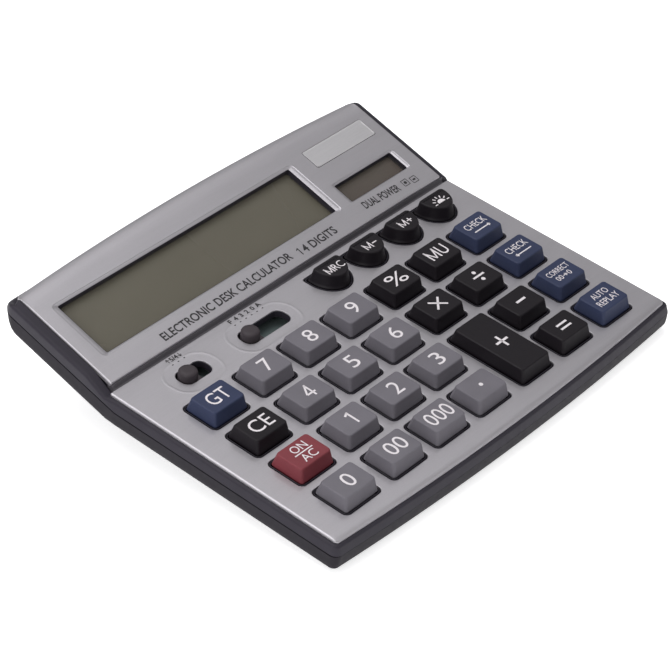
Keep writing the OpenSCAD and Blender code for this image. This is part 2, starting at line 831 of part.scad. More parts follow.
// The door: a floor plate, an upstand that closes the rear wall, and a tongue along each side
module battery_door() {
    w = 2 * (bay_x - door_gap);
    y0 = bay_y[0] + door_gap;
    l = belly_y[1] - y0;
    tongue_x = bay_x + tongue_w - tongue_gap;
    color(CASE) {
        translate([-w / 2, y0, base_z]) cube([w, l, door_t]);
        translate([-w / 2, belly_y[1] - door_t, base_z]) cube([w, door_t, door_up_z - base_z]);
        translate([-tongue_x, y0, base_z + door_t - tongue_t])
            cube([2 * tongue_x, l - belly_wall - tongue_rear_gap, tongue_t]);
    }
}

// ---- Feet and screws ----

module rubber_feet() {
    color([0.10, 0.10, 0.10]) for (p = feet_pos)
        translate([p[0], p[1], 0]) cylinder(r = foot_r, h = base_z + foot_sink);
}

// A screw whose head rests at level, its shank pointing up to tip
module screw(level, tip, shank_r, head) {
    translate([0, 0, level - head[1]]) cylinder(r = head[0], h = head[1]);
    translate([0, 0, level - eps]) cylinder(r = shank_r, h = tip - level);
}

module case_screws() {
    color([0.62, 0.62, 0.64]) at_case_screws() {
        screw(rim_key + case_screw_sink, skin_z - tip_gap, case_screw_r, case_screw_head);
        screw(rim_display + case_screw_sink, display_skin_z - tip_gap, case_screw_r, case_screw_head);
    }
}

module board_screws() {
    color([0.62, 0.62, 0.64]) at_board_screws()
        screw(board_bottom_z, skin_z - 1, board_screw_r, board_screw_head);
}

// ---- Nodes ----

upper_case();
lower_case();
keypad_faceplate();
display_faceplate();
badge_plate();
lcd_window();
lcd_panel();
lcd_holder();
solar_window();
solar_cell();
key_mat();
main_board();
controller_chip();
display_ribbon();
solar_leads();
battery_leads();
rounding_switch_knob();
rounding_switch_contact();
decimal_switch_knob();
decimal_switch_contact();
battery_cell();
battery_spring();
battery_contact();
battery_door();
rubber_feet();
case_screws();
board_screws();
for (k = KEYS) placed_key(k);
for (i = [0:3]) memory_key(i);
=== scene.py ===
"""Looks of the desktop calculator, built round its CAD frame.

Lengths are in millimetres, in the part's own frame or in one of its two tilted planes, until piece() makes
a mesh. A profile is a list of (inset, level) pairs: how far in from an outline, and how high over a plane.
"""

import math
from collections import namedtuple

import bmesh
import bpy
from mathutils import Matrix, Vector
from mathutils.geometry import tessellate_polygon


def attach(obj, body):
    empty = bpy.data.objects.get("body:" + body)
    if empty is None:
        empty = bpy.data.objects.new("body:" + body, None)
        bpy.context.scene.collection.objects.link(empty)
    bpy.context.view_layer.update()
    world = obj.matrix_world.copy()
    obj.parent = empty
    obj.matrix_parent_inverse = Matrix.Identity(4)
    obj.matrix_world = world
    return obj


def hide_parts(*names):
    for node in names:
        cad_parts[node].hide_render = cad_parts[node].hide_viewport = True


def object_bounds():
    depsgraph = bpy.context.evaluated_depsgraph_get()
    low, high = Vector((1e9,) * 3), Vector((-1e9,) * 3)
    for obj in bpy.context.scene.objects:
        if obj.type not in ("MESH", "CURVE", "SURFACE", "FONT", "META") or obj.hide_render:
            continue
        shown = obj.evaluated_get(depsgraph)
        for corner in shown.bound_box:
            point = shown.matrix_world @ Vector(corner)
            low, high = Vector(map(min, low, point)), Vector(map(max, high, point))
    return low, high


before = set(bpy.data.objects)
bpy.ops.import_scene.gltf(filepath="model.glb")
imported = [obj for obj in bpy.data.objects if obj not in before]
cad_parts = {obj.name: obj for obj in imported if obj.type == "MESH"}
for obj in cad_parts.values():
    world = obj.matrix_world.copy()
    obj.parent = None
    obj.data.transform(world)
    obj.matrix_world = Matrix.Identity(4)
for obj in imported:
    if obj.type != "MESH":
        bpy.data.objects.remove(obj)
CAD_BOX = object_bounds()
MM = 0.001
LOW, HIGH = (corner / MM for corner in CAD_BOX)

# ---- The two tilted planes ----

KEY_TILT = math.radians(6.3)
DISPLAY_TILT = KEY_TILT + math.radians(14)
KEYPAD = Matrix.Translation((0, -26.5, 15.2)) @ Matrix.Rotation(KEY_TILT, 4, "X")
DISPLAY = KEYPAD @ Matrix.Translation((0, 52, 2.2)) @ Matrix.Rotation(DISPLAY_TILT - KEY_TILT, 4, "X")


def key_line(y, level):
    """Height at row y of a plane that lies level over the keypad plate."""
    origin = KEYPAD.translation
    return origin.z + (y - origin.y) * math.tan(KEY_TILT) + level / math.cos(KEY_TILT)


def display_line(y, level):
    """Height at row y of a plane that lies level over the display plate."""
    origin = DISPLAY.translation
    return origin.z + (y - origin.y) * math.tan(DISPLAY_TILT) + level / math.cos(DISPLAY_TILT)


def fold_y(key_level, display_level):
    """The row where a keypad level and a display level meet."""
    gap = key_line(0, key_level) - display_line(0, display_level)
    return gap / (math.tan(DISPLAY_TILT) - math.tan(KEY_TILT))


def span(node, plane):
    """The lowest and highest corner of a CAD node, in a plane's own frame."""
    to_plane = plane.inverted()
    points = [to_plane @ (v.co / MM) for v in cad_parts[node].data.vertices]
    return [Vector([pick(p[axis] for p in points) for axis in range(3)]) for pick in (min, max)]


# ---- Curves and outlines ----

CORNER_STEPS = 8
BULGE_STEPS = 24


def arc(centre, r, start, end, steps):
    """Points along an arc, with its angles in degrees."""
    turns = [math.radians(start + (end - start) * i / steps) for i in range(steps + 1)]
    return [(centre[0] + r * math.cos(a), centre[1] + r * math.sin(a)) for a in turns]


def rounded_up(start, end, steps=5):
    """A profile that leaves start straight up and reaches end lying level."""
    turns = [math.pi / 2 * i / steps for i in range(steps + 1)]
    reach, rise = end[0] - start[0], end[1] - start[1]
    return [(start[0] + reach * (1 - math.cos(a)), start[1] + rise * math.sin(a)) for a in turns]


def rounded_rect(w, d, r, steps=6):
    """A rectangle with round corners about the origin."""
    x, y = w / 2 - r, d / 2 - r
    return (arc((x, y), r, 0, 90, steps) + arc((-x, y), r, 90, 180, steps)
            + arc((-x, -y), r, 180, 270, steps) + arc((x, -y), r, 270, 360, steps))


def circle(x, y, r, steps):
    """Points round a circle."""
    return arc((x, y), r, 0, 360, steps)[:-1]


def moved(points, x, y):
    return [(px + x, py + y) for px, py in points]


def lifted(points, z):
    """A flat outline as a ring at level z."""
    return [(x, y, z) for x, y in points]


def bulged_end(half_w, y, bulge, r):
    """One bulged end with its two round corners, from right to left."""
    big_r = (half_w * half_w + bulge * bulge) / (2 * bulge)
    reach = math.sqrt((big_r - r) ** 2 - (half_w - r) ** 2)
    corner = (half_w - r, y - big_r + reach)
    turn = math.degrees(math.atan2(reach, half_w - r))
    return (arc(corner, r, 0, turn, CORNER_STEPS)
            + arc((0, y - big_r), big_r, turn, 180 - turn, BULGE_STEPS)[1:-1]
            + arc((-corner[0], corner[1]), r, 180 - turn, 180, CORNER_STEPS))


def turned_round(points):
    """The same points mirrored front to rear, in the other order."""
    return [(x, -y) for x, y in reversed(points)]


def outward(points):
    """The direction that points out of a closed outline at each of its points."""
    directions = []
    for i in range(len(points)):
        before = Vector(points[i - 1])
        after = Vector(points[(i + 1) % len(points)])
        along = (after - before).normalized()
        directions.append(Vector((along.y, -along.x)))
    return directions


# ---- Meshes ----


class Shape:
    """Points in millimetres and faces, gathered for one mesh."""

    def __init__(self):
        self.points = []
        self.faces = []

    def ring(self, points):
        """Adds a ring of points and returns their indices."""
        first = len(self.points)
        self.points.extend(Vector(p) for p in points)
        return list(range(first, len(self.points)))

    def bridge(self, a, b):
        """Joins two closed rings of the same length."""
        for i in range(len(a)):
            j = (i + 1) % len(a)
            self.faces.append((a[i], a[j], b[j], b[i]))

    def loft(self, rings, cap_first=False, cap_last=False):
        """Joins closed rings in turn and returns their indices."""
        made = [self.ring(r) for r in rings]
        for a, b in zip(made, made[1:]):
            self.bridge(a, b)
        if cap_first:
            self.faces.append(tuple(reversed(made[0])))
        if cap_last:
            self.faces.append(tuple(made[-1]))
        return made

    def fill(self, outer, holes=()):
        """Fills between rings that lie in one plane, and leaves the holes open."""
        loops = [outer, *holes]
        indices = [index for loop in loops for index in loop]
        triangles = tessellate_polygon([[self.points[i] for i in loop] for loop in loops])
        self.faces.extend(tuple(indices[i] for i in t) for t in triangles)

    def prism(self, outline, low, high):
        """A closed block with this outline."""
        self.loft([lifted(outline, low), lifted(outline, high)], True, True)

    def box(self, low, high):
        """A closed block between two corners."""
        corners = [(low[0], low[1]), (high[0], low[1]), (high[0], high[1]), (low[0], high[1])]
        self.prism(corners, low[2], high[2])

    def disc(self, x, y, r, z, steps=20):
        """A flat round patch."""
        self.faces.append(tuple(self.ring(lifted(circle(x, y, r, steps), z))))

    def bar(self, start, end, width, z):
        """A flat straight stroke."""
        a, b = Vector(start), Vector(end)
        along = (b - a).normalized() * width / 2
        side = Vector((-along.y, along.x))
        corners = [a - side, b - side, b + side, a + side]
        self.faces.append(tuple(self.ring([(c.x, c.y, z) for c in corners])))

    def add(self, other, turn=None):
        """Takes in another shape, moved by a matrix."""
        first = len(self.points)
        self.points.extend(turn @ p if turn else p.copy() for p in other.points)
        self.faces.extend(tuple(first + i for i in face) for face in other.faces)

    def moved(self, turn):
        made = Shape()
        made.add(self, turn)
        return made


def piece(name, shape, body, stuff, plane=None, replaces=(), sharp=38):
    """Makes a mesh object from a shape, on a CAD body. Edges sharper than sharp degrees stay crisp."""
    turn = plane or Matrix.Identity(4)
    mesh = bpy.data.meshes.new(name)
    mesh.from_pydata([(turn @ p) * MM for p in shape.points], [], shape.faces)
    work = bmesh.new()
    work.from_mesh(mesh)
    bmesh.ops.remove_doubles(work, verts=work.verts, dist=0.001 * MM)
    bmesh.ops.dissolve_degenerate(work, edges=work.edges, dist=0.0005 * MM)
    bmesh.ops.recalc_face_normals(work, faces=work.faces)
    work.to_mesh(mesh)
    work.free()
    mesh.shade_smooth()
    mesh.set_sharp_from_angle(angle=math.radians(sharp))
    mesh.materials.append(stuff)
    made = bpy.data.objects.new(name, mesh)
    bpy.context.scene.collection.objects.link(made)
    normals = made.modifiers.new("normals", "WEIGHTED_NORMAL")
    normals.keep_sharp = True
    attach(made, body)
    if replaces:
        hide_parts(*replaces)
    return made


def cut(target, name, shape):
    """Cuts a closed shape out of an object that piece() has made."""
    mesh = bpy.data.meshes.new(name)
    mesh.from_pydata([p * MM for p in shape.points], [], shape.faces)
    work = bmesh.new()
    work.from_mesh(mesh)
    bmesh.ops.recalc_face_normals(work, faces=work.faces)
    work.to_mesh(mesh)
    work.free()
    cutter = bpy.data.objects.new(name, mesh)
    bpy.context.scene.collection.objects.link(cutter)
    boolean = target.modifiers.new("cut", "BOOLEAN")
    boolean.object = cutter
    boolean.solver = "EXACT"
    boolean.use_self = True
    normals = target.modifiers["normals"]
    normals.show_viewport = False
    bpy.context.view_layer.update()
    graph = bpy.context.evaluated_depsgraph_get()
    made = bpy.data.meshes.new_from_object(target.evaluated_get(graph))
    target.modifiers.remove(boolean)
    normals.show_viewport = True
    target.data = made
    made.shade_smooth()
    made.set_sharp_from_angle(angle=math.radians(32))
    bpy.data.objects.remove(cutter)


# ---- Materials ----


def add_node(tree, kind, inputs=None, **settings):
    """A new shader node with its settings and the values of its inputs."""
    made = tree.nodes.new("ShaderNode" + kind)
    for key, value in settings.items():
        setattr(made, key, value)
    for key, value in (inputs or {}).items():
        made.inputs[key].default_value = value
    return made


def linear(colour):
    """An sRGB colour, 0 to 255, as a linear one with its alpha."""
    parts = [c / 255 for c in colour]
    return (*[c / 12.92 if c <= 0.04045 else ((c + 0.055) / 1.055) ** 2.4 for c in parts], 1)


def shaded(colour, factor):
    return (*[c * factor for c in colour[:3]], 1)


def start_material(name):
    stuff = bpy.data.materials.new(name)
    stuff.use_nodes = True
    tree = stuff.node_tree
    return stuff, tree, tree.nodes["Principled BSDF"]


def noise(tree, scale, stretch=(1, 1, 1), detail=3.0, rough=0.55):
    """The value of a noise fixed to the object. Scale is in cycles per metre."""
    place = add_node(tree, "TexCoord")
    mapping = add_node(tree, "Mapping", {"Scale": stretch})
    made = add_node(tree, "TexNoise", {"Scale": scale, "Detail": detail, "Roughness": rough})
    tree.links.new(place.outputs["Object"], mapping.inputs["Vector"])
    tree.links.new(mapping.outputs["Vector"], made.inputs["Vector"])
    return made.outputs["Fac"]


def ranged(tree, value, low, high, from_low=0.3, from_high=0.7):
    """A value stretched to run from low to high."""
    made = add_node(tree, "MapRange",
                    {"From Min": from_low, "From Max": from_high, "To Min": low, "To Max": high})
    tree.links.new(value, made.inputs["Value"])
    return made.outputs["Result"]


def mixed(tree, factor, a, b, blend="MIX"):
    """Colours or colour sockets a and b, mixed by factor."""
    made = add_node(tree, "Mix", data_type="RGBA", blend_type=blend)
    for socket, value in ((made.inputs[0], factor), (made.inputs[6], a), (made.inputs[7], b)):
        if isinstance(value, bpy.types.NodeSocket):
            tree.links.new(value, socket)
        else:
            socket.default_value = value
    return made.outputs[2]


def bumped(tree, shader, layers):
    """Adds bump layers, each (height socket, strength, distance in metres)."""
    before = None
    for height, strength, distance in layers:
        bump = add_node(tree, "Bump", {"Strength": strength, "Distance": distance})
        tree.links.new(height, bump.inputs["Height"])
        if before:
            tree.links.new(before, bump.inputs["Normal"])
        before = bump.outputs["Normal"]
    tree.links.new(before, shader.inputs["Normal"])


def moulded_plastic(name, colour, roughness=0.5, grain=0.25, edge_wear_and_highlight=0.15, specular=0.22):
    """Moulded plastic: a fine grain, faint clouds of colour and gloss, and edges painted a little lighter,
    partly as rubbed wear and partly as a painted highlight on their rounding.
    """
    stuff, tree, shader = start_material(name)
    base = linear(colour)
    clouds = noise(tree, 90, detail=4)
    fine = noise(tree, 2600, detail=2)
    patch_noise = noise(tree, 420, detail=5, rough=0.7)
    tint = mixed(tree, ranged(tree, clouds, 0, 1), shaded(base, 0.93), shaded(base, 1.08))
    # Edges are painted lighter by their pointiness: partly rubbed wear, partly a painted highlight standing
    # in for light on their rounding
    edge = add_node(tree, "NewGeometry").outputs["Pointiness"]
    on_edge = ranged(tree, edge, 0, edge_wear_and_highlight, 0.505, 0.56)
    patchy = add_node(tree, "Math", operation="MULTIPLY")
    tree.links.new(on_edge, patchy.inputs[0])
    tree.links.new(ranged(tree, patch_noise, 0.2, 1), patchy.inputs[1])
    worn_and_highlit = mixed(tree, patchy.outputs[0], tint, shaded(base, 1.9))
    tree.links.new(worn_and_highlit, shader.inputs["Base Color"])
    tree.links.new(ranged(tree, patch_noise, roughness - 0.06, roughness + 0.06), shader.inputs["Roughness"])
    shader.inputs["Specular IOR Level"].default_value = specular
    bumped(tree, shader, [(fine, grain, 0.00004), (clouds, 0.08, 0.0002)])
    return stuff


def brushed_metal(name, colour, metallic=0.8, roughness=0.42, grain=0.12, along=(1, 40, 40)):
    """A satin metal face: grain along X, small flecks, and slow changes of tone."""
    stuff, tree, shader = start_material(name)
    base = linear(colour)
    streaks = noise(tree, 60, along, detail=5, rough=0.65)
    flecks = noise(tree, 2200, detail=2)
    clouds = noise(tree, 22, detail=3)
    tint = mixed(tree, ranged(tree, streaks, 0, 1), shaded(base, 0.95), shaded(base, 1.05))
    tint = mixed(tree, ranged(tree, flecks, 0, 0.35), tint, shaded(base, 1.12))
    tint = mixed(tree, ranged(tree, clouds, 0, 0.3), tint, shaded(base, 0.92))
    tree.links.new(tint, shader.inputs["Base Color"])
    tree.links.new(ranged(tree, streaks, roughness - 0.05, roughness + 0.06), shader.inputs["Roughness"])
    shader.inputs["Metallic"].default_value = metallic
    bumped(tree, shader, [(streaks, grain, 0.00005), (flecks, grain * 0.8, 0.00003)])
    return stuff


def clear_pane(name, colour, alpha, roughness=0.08):
    """A thin clear pane: mostly see-through, with gloss and faint smears on it."""
    stuff, tree, shader = start_material(name)
    smears = noise(tree, 40, (1, 3, 1), detail=1)
    tint = mixed(tree, ranged(tree, smears, 0, 1), linear(colour), shaded(linear(colour), 1.15))
    tree.links.new(tint, shader.inputs["Base Color"])
    tree.links.new(ranged(tree, smears, roughness * 0.7, roughness * 1.6), shader.inputs["Roughness"])
    shader.inputs["Alpha"].default_value = alpha
    shader.inputs["Specular IOR Level"].default_value = 0.5
    bumped(tree, shader, [(smears, 0.03, 0.0001)])
    return stuff


def display_glass(name, colour, second, scale=30):
    """The face of a display or a solar cell: dark smooth layers that change tone slowly."""
    stuff, tree, shader = start_material(name)
    drift = noise(tree, scale, (1, 0.4, 1), detail=1)
    tint = mixed(tree, ranged(tree, drift, 0, 1), linear(colour), linear(second))
    tree.links.new(tint, shader.inputs["Base Color"])
    tree.links.new(ranged(tree, drift, 0.24, 0.34), shader.inputs["Roughness"])
    shader.inputs["Specular IOR Level"].default_value = 0.3
    bumped(tree, shader, [(drift, 0.05, 0.0001)])
    return stuff


def print_ink(name, colour):
    """Silk-screened ink: nearly even, with a little speckle and a slightly raised skin."""
    stuff, tree, shader = start_material(name)
    speckle = noise(tree, 1500, detail=3)
    base = linear(colour)
    tint = mixed(tree, ranged(tree, speckle, 0, 1), shaded(base, 0.92), shaded(base, 1.04))
    tree.links.new(tint, shader.inputs["Base Color"])
    tree.links.new(ranged(tree, speckle, 0.42, 0.55), shader.inputs["Roughness"])
    bumped(tree, shader, [(speckle, 0.1, 0.00003)])
    return stuff


# Plastics: name, colour, roughness, grain, wear and painted highlight along edges, specular level. Metals:
# name, colour, metallic, roughness, grain. Glass and inks: name and colours.
CASE = moulded_plastic("case_plastic", (48, 45, 53), 0.5, 0.3, 0.12, 0.18)
# A darker copy of the case plastic: painted shade that holds the lower wall down against the light the
# glowing floor throws on it
LOWER_CASE_SHADED = moulded_plastic("lower_case_plastic_shaded", (34, 31, 37), 0.55, 0.3, 0.12, 0.14)
# A lighter copy of the case plastic: its colour is painted reflection of the silver keypad plate on the
# riser's face
RISER_LIT = moulded_plastic("riser_plastic_lit", (82, 79, 84), 0.35, 0.2, 0.1, 0.5)
SILVER = brushed_metal("silver_panel", (178, 175, 180))
BADGE = brushed_metal("badge_metal", (212, 210, 213), 0.8, 0.36, 0.08)
KEY_GREY = moulded_plastic("key_grey", (109, 106, 113), 0.48, 0.22, 0.1)
KEY_BLACK = moulded_plastic("key_black", (25, 21, 26), 0.44, 0.22, 0.1, 0.2)
KEY_BLUE = moulded_plastic("key_blue", (50, 57, 83), 0.44, 0.22, 0.1)
KEY_RED = moulded_plastic("key_red", (122, 56, 63), 0.46, 0.22, 0.1)
KNOB = moulded_plastic("knob_plastic", (62, 56, 60), 0.5, 0.25, 0.1)
CLEAR = clear_pane("window_clear", (120, 116, 104), 0.1)
LCD = display_glass("lcd_glass", (99, 95, 84), (102, 98, 88), 14)
SOLAR = display_glass("solar_glass", (82, 78, 72), (88, 74, 74), 22)
HOLDER = moulded_plastic("holder_plastic", (205, 202, 196), 0.5, 0.2, 0.1)
MAT = moulded_plastic("mat_rubber", (186, 183, 176), 0.65, 0.3, 0.05)
# Its colour is raised as painted light, to lift the shade inside the switch slots
BOARD_LIFTED = moulded_plastic("board_laminate", (108, 120, 120), 0.4, 0.15, 0.1)
CHIP = moulded_plastic("chip_epoxy", (24, 24, 25), 0.3, 0.1, 0.05)
RIBBON = moulded_plastic("ribbon_film", (205, 160, 80), 0.35, 0.1, 0.1)
WIRE_RED = moulded_plastic("wire_red", (170, 36, 30), 0.45, 0.1, 0.1)
WIRE_BLACK = moulded_plastic("wire_black", (28, 28, 28), 0.45, 0.1, 0.1)
BRASS = brushed_metal("contact_brass", (205, 172, 96), 1.0, 0.32)
JACKET = brushed_metal("cell_jacket", (130, 134, 142), 0.5, 0.3, 0.05)
STEEL = brushed_metal("contact_steel", (188, 188, 192), 1.0, 0.3)
SCREW = brushed_metal("screw_steel", (170, 170, 174), 1.0, 0.34)
RUBBER = moulded_plastic("foot_rubber", (30, 30, 31), 0.75, 0.4, 0.05)
WHITE_INK = print_ink("white_ink", (226, 220, 224))
BLACK_INK = print_ink("black_ink", (38, 35, 38))

# ---- Case ----

FRONT_BULGE = 2.8
REAR_BULGE = 2.8
FRONT_R = 2.5
REAR_R = 4.4
LEAST_R = 1.8
WALL = 2.2
SEAM = (-4.1, -4.8)
RIM = (-9, -10.2)
RISER_Y = DISPLAY.translation.y - 0.8
# On the left the case's edge reaches the display's level at CLIMB_Y, and its width eases in over EASE
CLIMB_Y = RISER_Y + 7
EASE = 4

WALL_BULGE = 1.3

# A line round the case: its inset along the sides and at the bulged end, and its level at both.
# narrow is how much further in the right side lies, and bulge is the rear end's.
Line = namedtuple("Line", "side end level end_level narrow bulge", defaults=(0, WALL_BULGE))


def even(inset, level):
    """A line with one inset and one level all round."""
    return Line(inset, inset, level, level)


def between(a, b, x, z):
    """The line at share x of the way across and share z of the way down from a to b."""
    shares = (x, x, z, z, x, x)
    return Line(*(start + (end - start) * share for start, end, share in zip(a, b, shares)))


def end_share(outline, sign):
    """How far each point of an outline faces the front (sign -1) or the rear (sign 1), 0 to 1."""
    return [max(0.0, n.y * sign) ** 2 for n in outward(outline)]


def case_ring(front, rear, stepped=False):
    """One ring round the case. A stepped ring stays on the keypad's level up to the riser.

    There it climbs to the display's level: at once on the right, and over a slope on the left.
    """
    fold = min(fold_y(front.level, rear.level), RISER_Y - EASE - 0.5)
    front_half = HIGH.x - front.side
    rear_half = HIGH.x - rear.side
    rear_r = max(REAR_R - (rear.side + rear.end) / 2, LEAST_R)
    front_r = max(FRONT_R - (front.side + front.end) / 2, LEAST_R)
    rear_end = bulged_end(rear_half, HIGH.y - rear.end, rear.bulge, rear_r)
    rear_end = [(x - rear.narrow * max(0, x) / rear_half, y) for x, y in rear_end]
    front_end = turned_round(bulged_end(front_half, -LOW.y - front.end, FRONT_BULGE, front_r))
    left = [(-rear_half, CLIMB_Y), (-rear_half, RISER_Y), (-front_half, RISER_Y - EASE), (-front_half, fold)]
    narrow_half = rear_half - rear.narrow
    right = [(front_half, fold), (front_half, RISER_Y), (narrow_half, RISER_Y), (narrow_half, CLIMB_Y)]
    outline = rear_end + left + front_end + right
    behind = [True] * (len(rear_end) + 1) + [False] * (len(front_end) + 5) + [True] * 2
    front_shares = end_share(outline, -1)
    rear_shares = end_share(outline, 1)
    ring = []
    for (x, y), rear_side, at_front, at_rear in zip(outline, behind, front_shares, rear_shares):
        low = key_line(y, front.level + (front.end_level - front.level) * at_front)
        high = display_line(y, rear.level + (rear.end_level - rear.level) * at_rear)
        if stepped:
            z = high if rear_side else low
        else:
            z = max(low, high)
        ring.append((x, y, z))
    return ring


# The case's top edge beside each plate: under the plate, the groove round it, the lip and its rounding
KEY_GROOVE = [Line(3.2, 2.4, -1.6, -1.6), Line(2.3, 1.5, -1.1, -1.2), Line(2.1, 1.3, -1, -1.1)]
KEY_LIP = [Line(1.85, 1.05, -0.95, -1.05), Line(0.6, 0.35, -1.9, -1.9)]
DISPLAY_GROOVE = [Line(3.75, 2.5, -1.4, -2.6, 1.2, REAR_BULGE),
                  Line(3.35, 1.95, -1.4, -2.6, 1.2, REAR_BULGE),
                  Line(3.3, 1.75, -0.6, -1.95, 1.2, REAR_BULGE)]
DISPLAY_LEDGE = Line(3.1, 1.7, -0.5, -1.9, 1.3, REAR_BULGE)
DISPLAY_LIP = [Line(1.1, 2.1, -0.75, -2.5, 2.6, 2.7), Line(0.05, 0.3, -1.9, -4.3, 1.6, 1.8)]
LIP_STEPS = 6
# The edge at the seam: inset, inset at the front, and distance from the seam, all round and at the front
SEAM_EDGE = [(0, 0, 0.26, 0.1), (0.1, 0.02, 0.15, 0.03), (0.7, 0.1, 0.14, 0.02)]
# The lower case's tongue, which stands up behind the upper wall and closes the seam: its inset and rise
SEAM_TONGUE = 0.8
SEAM_TONGUE_RISE = 1
SEAM_PLAY = 0.08


def upper_wall():
    """The outer wall from inside, over the groove and the lip, down to the seam, and back up inside."""
    rings = [case_ring(even(WALL + 2, -2.6), even(WALL + 2, -2.8), True)]
    for front, rear in zip(KEY_GROOVE, DISPLAY_GROOVE):
        rings.append(case_ring(front, rear, True))
    rings.append(case_ring(KEY_LIP[0], DISPLAY_LEDGE, True))
    for i in range(LIP_STEPS + 1):
        a = math.pi / 2 * i / LIP_STEPS
        across, down = math.sin(a), 1 - math.cos(a)
        rings.append(case_ring(between(*KEY_LIP, across, down), between(*DISPLAY_LIP, across, down), True))
    key_seam, display_seam = SEAM
    for inset, end, lift, end_lift in SEAM_EDGE:
        front = Line(inset, end, key_seam + lift, key_seam + end_lift)
        rings.append(case_ring(front, even(inset, display_seam + lift)))
    inside = SEAM_TONGUE - SEAM_PLAY
    top = SEAM_TONGUE_RISE + 2 * SEAM_PLAY
    rings.append(case_ring(even(inside, key_seam + lift), even(inside, display_seam + lift)))
    rings.append(case_ring(even(inside, key_seam + top), even(inside, display_seam + top)))
    rings.append(case_ring(even(WALL, -2.5), even(WALL, -2.7), True))
    shape = Shape()
    shape.loft(rings)
    return shape


# How far the riser is tucked under each plate, and how far it ends short of the sides
RISER_TUCK = 2
RISER_INSET = 3.8
# Its profile: (y from the keypad plate's rear edge, level), then (y from its own row, level)
RISER_FOOT = [(0.05, -0.9), (0.1, -0.5)]
RISER_FACE = [(-0.55, -0.45), (-0.2, -0.25), (-0.04, 0.15)]


def riser():
    """The step between the two plates, run across the case."""
    foot_y = KEYPAD.translation.y + KEY_PLATE_REAR * math.cos(KEY_TILT)
    front_y = foot_y - RISER_TUCK
    rear_y = RISER_Y + RISER_TUCK
    profile = [(front_y, key_line(front_y, KEY_SLAB[0])), (front_y, key_line(front_y, -1.05))]
    profile += [(foot_y + y, key_line(foot_y, level)) for y, level in RISER_FOOT]
    profile += [(RISER_Y + y, key_line(RISER_Y, level)) for y, level in RISER_FACE]
    profile += [(RISER_Y - 0.02, display_line(RISER_Y, -0.75)), (rear_y, display_line(rear_y, -1.05)),
                (rear_y, key_line(rear_y, KEY_SLAB[0]))]
    half = HIGH.x - RISER_INSET
    shape = Shape()
    shape.loft([[(x, y, z) for y, z in profile] for x in (-half, half)], True, True)
    piece("riser_visual", shape, "case", RISER_LIT)


# ---- Openings ----

# How far a key's flange reaches past its opening, and the gap between the opening and its cap
FLANGE = 0.5
KEY_GAP = 1
KEY_R = 1.9
MEMORY_ROUND = 9.2
MEMORY_CORNER_R = 1.1
MEMORY_STEPS = 28
KEYS = sorted(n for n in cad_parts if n.startswith("key_") and n != "key_mat")
MEMORY_KEYS = ["key_memory_recall", "key_memory_minus", "key_memory_plus", "key_backlight"]


def key_place(node):
    """Centre, width and depth of a key's opening, and its top, in the keypad plane."""
    low, high = span(node, KEYPAD)
    size = high - low
    return (low + high) / 2, size.x - 2 * FLANGE, size.y - 2 * FLANGE, high.z


def memory_outline(w, d, grow=0):
    """A flat-backed key seen from above, its rear edge at y = grow."""
    half = w / 2 + grow
    straight = d - MEMORY_ROUND
    turns = [math.pi + math.pi * i / MEMORY_STEPS for i in range(MEMORY_STEPS + 1)]
    front = [(half * math.cos(a), -straight + (MEMORY_ROUND + grow) * math.sin(a)) for a in turns]
    r = MEMORY_CORNER_R
    return front + arc((half - r, grow - r), r, 0, 90, 4) + arc((r - half, grow - r), r, 90, 180, 4)


def key_opening(node, grow):
    """The outline of a key's opening, grown all round."""
    centre, w, d, _ = key_place(node)
    if node in MEMORY_KEYS:
        return moved(memory_outline(w, d, grow), centre.x, centre.y + d / 2)
    return moved(rounded_rect(w + 2 * grow, d + 2 * grow, KEY_R + grow), centre.x, centre.y)


# The switches' slots: depth, corners, row, the knobs' radius, and the slot left over at a knob's end
SLOT_D = 6.7
SLOT_R = 2.6
SLOT_Y = 40
# The width of each switch's slot
SLOTS = {"rounding_switch": 11.8, "decimal_switch": 19.4}
KNOB_R = 3
SLOT_END = 0.4


def slot_opening(switch, grow):
    """The outline of a slide switch's slot, grown all round."""
    low, high = span(switch + "_knob", KEYPAD)
    w = SLOTS[switch]
    left = (low.x + high.x) / 2 - KNOB_R - SLOT_END
    return moved(rounded_rect(w + 2 * grow, SLOT_D + 2 * grow, SLOT_R + grow), left + w / 2, SLOT_Y)


PANE_LIP = 2
WINDOW_R = 0.5


def window_opening(node, frame_share):
    """The outline function of a window's opening. It grows less at the front and rear than at the sides."""
    low, high = span(node, DISPLAY)
    centre = (low + high) / 2
    size = high - low - Vector((2 * PANE_LIP, 2 * PANE_LIP, 0))

    def outline(grow):
        wide = grow * frame_share if grow > 0 else grow
        deep = wide / 2 if grow > 0 else grow
        rect = rounded_rect(size.x + 2 * wide, size.y + 2 * deep, WINDOW_R + max(0, deep))
        return moved(rect, centre.x, centre.y)

    return outline


LCD_OPENING = window_opening("lcd_window", 1)
SOLAR_OPENING = window_opening("solar_window", 0.6)


# ---- Faceplates ----


ROLL_STEPS = 7


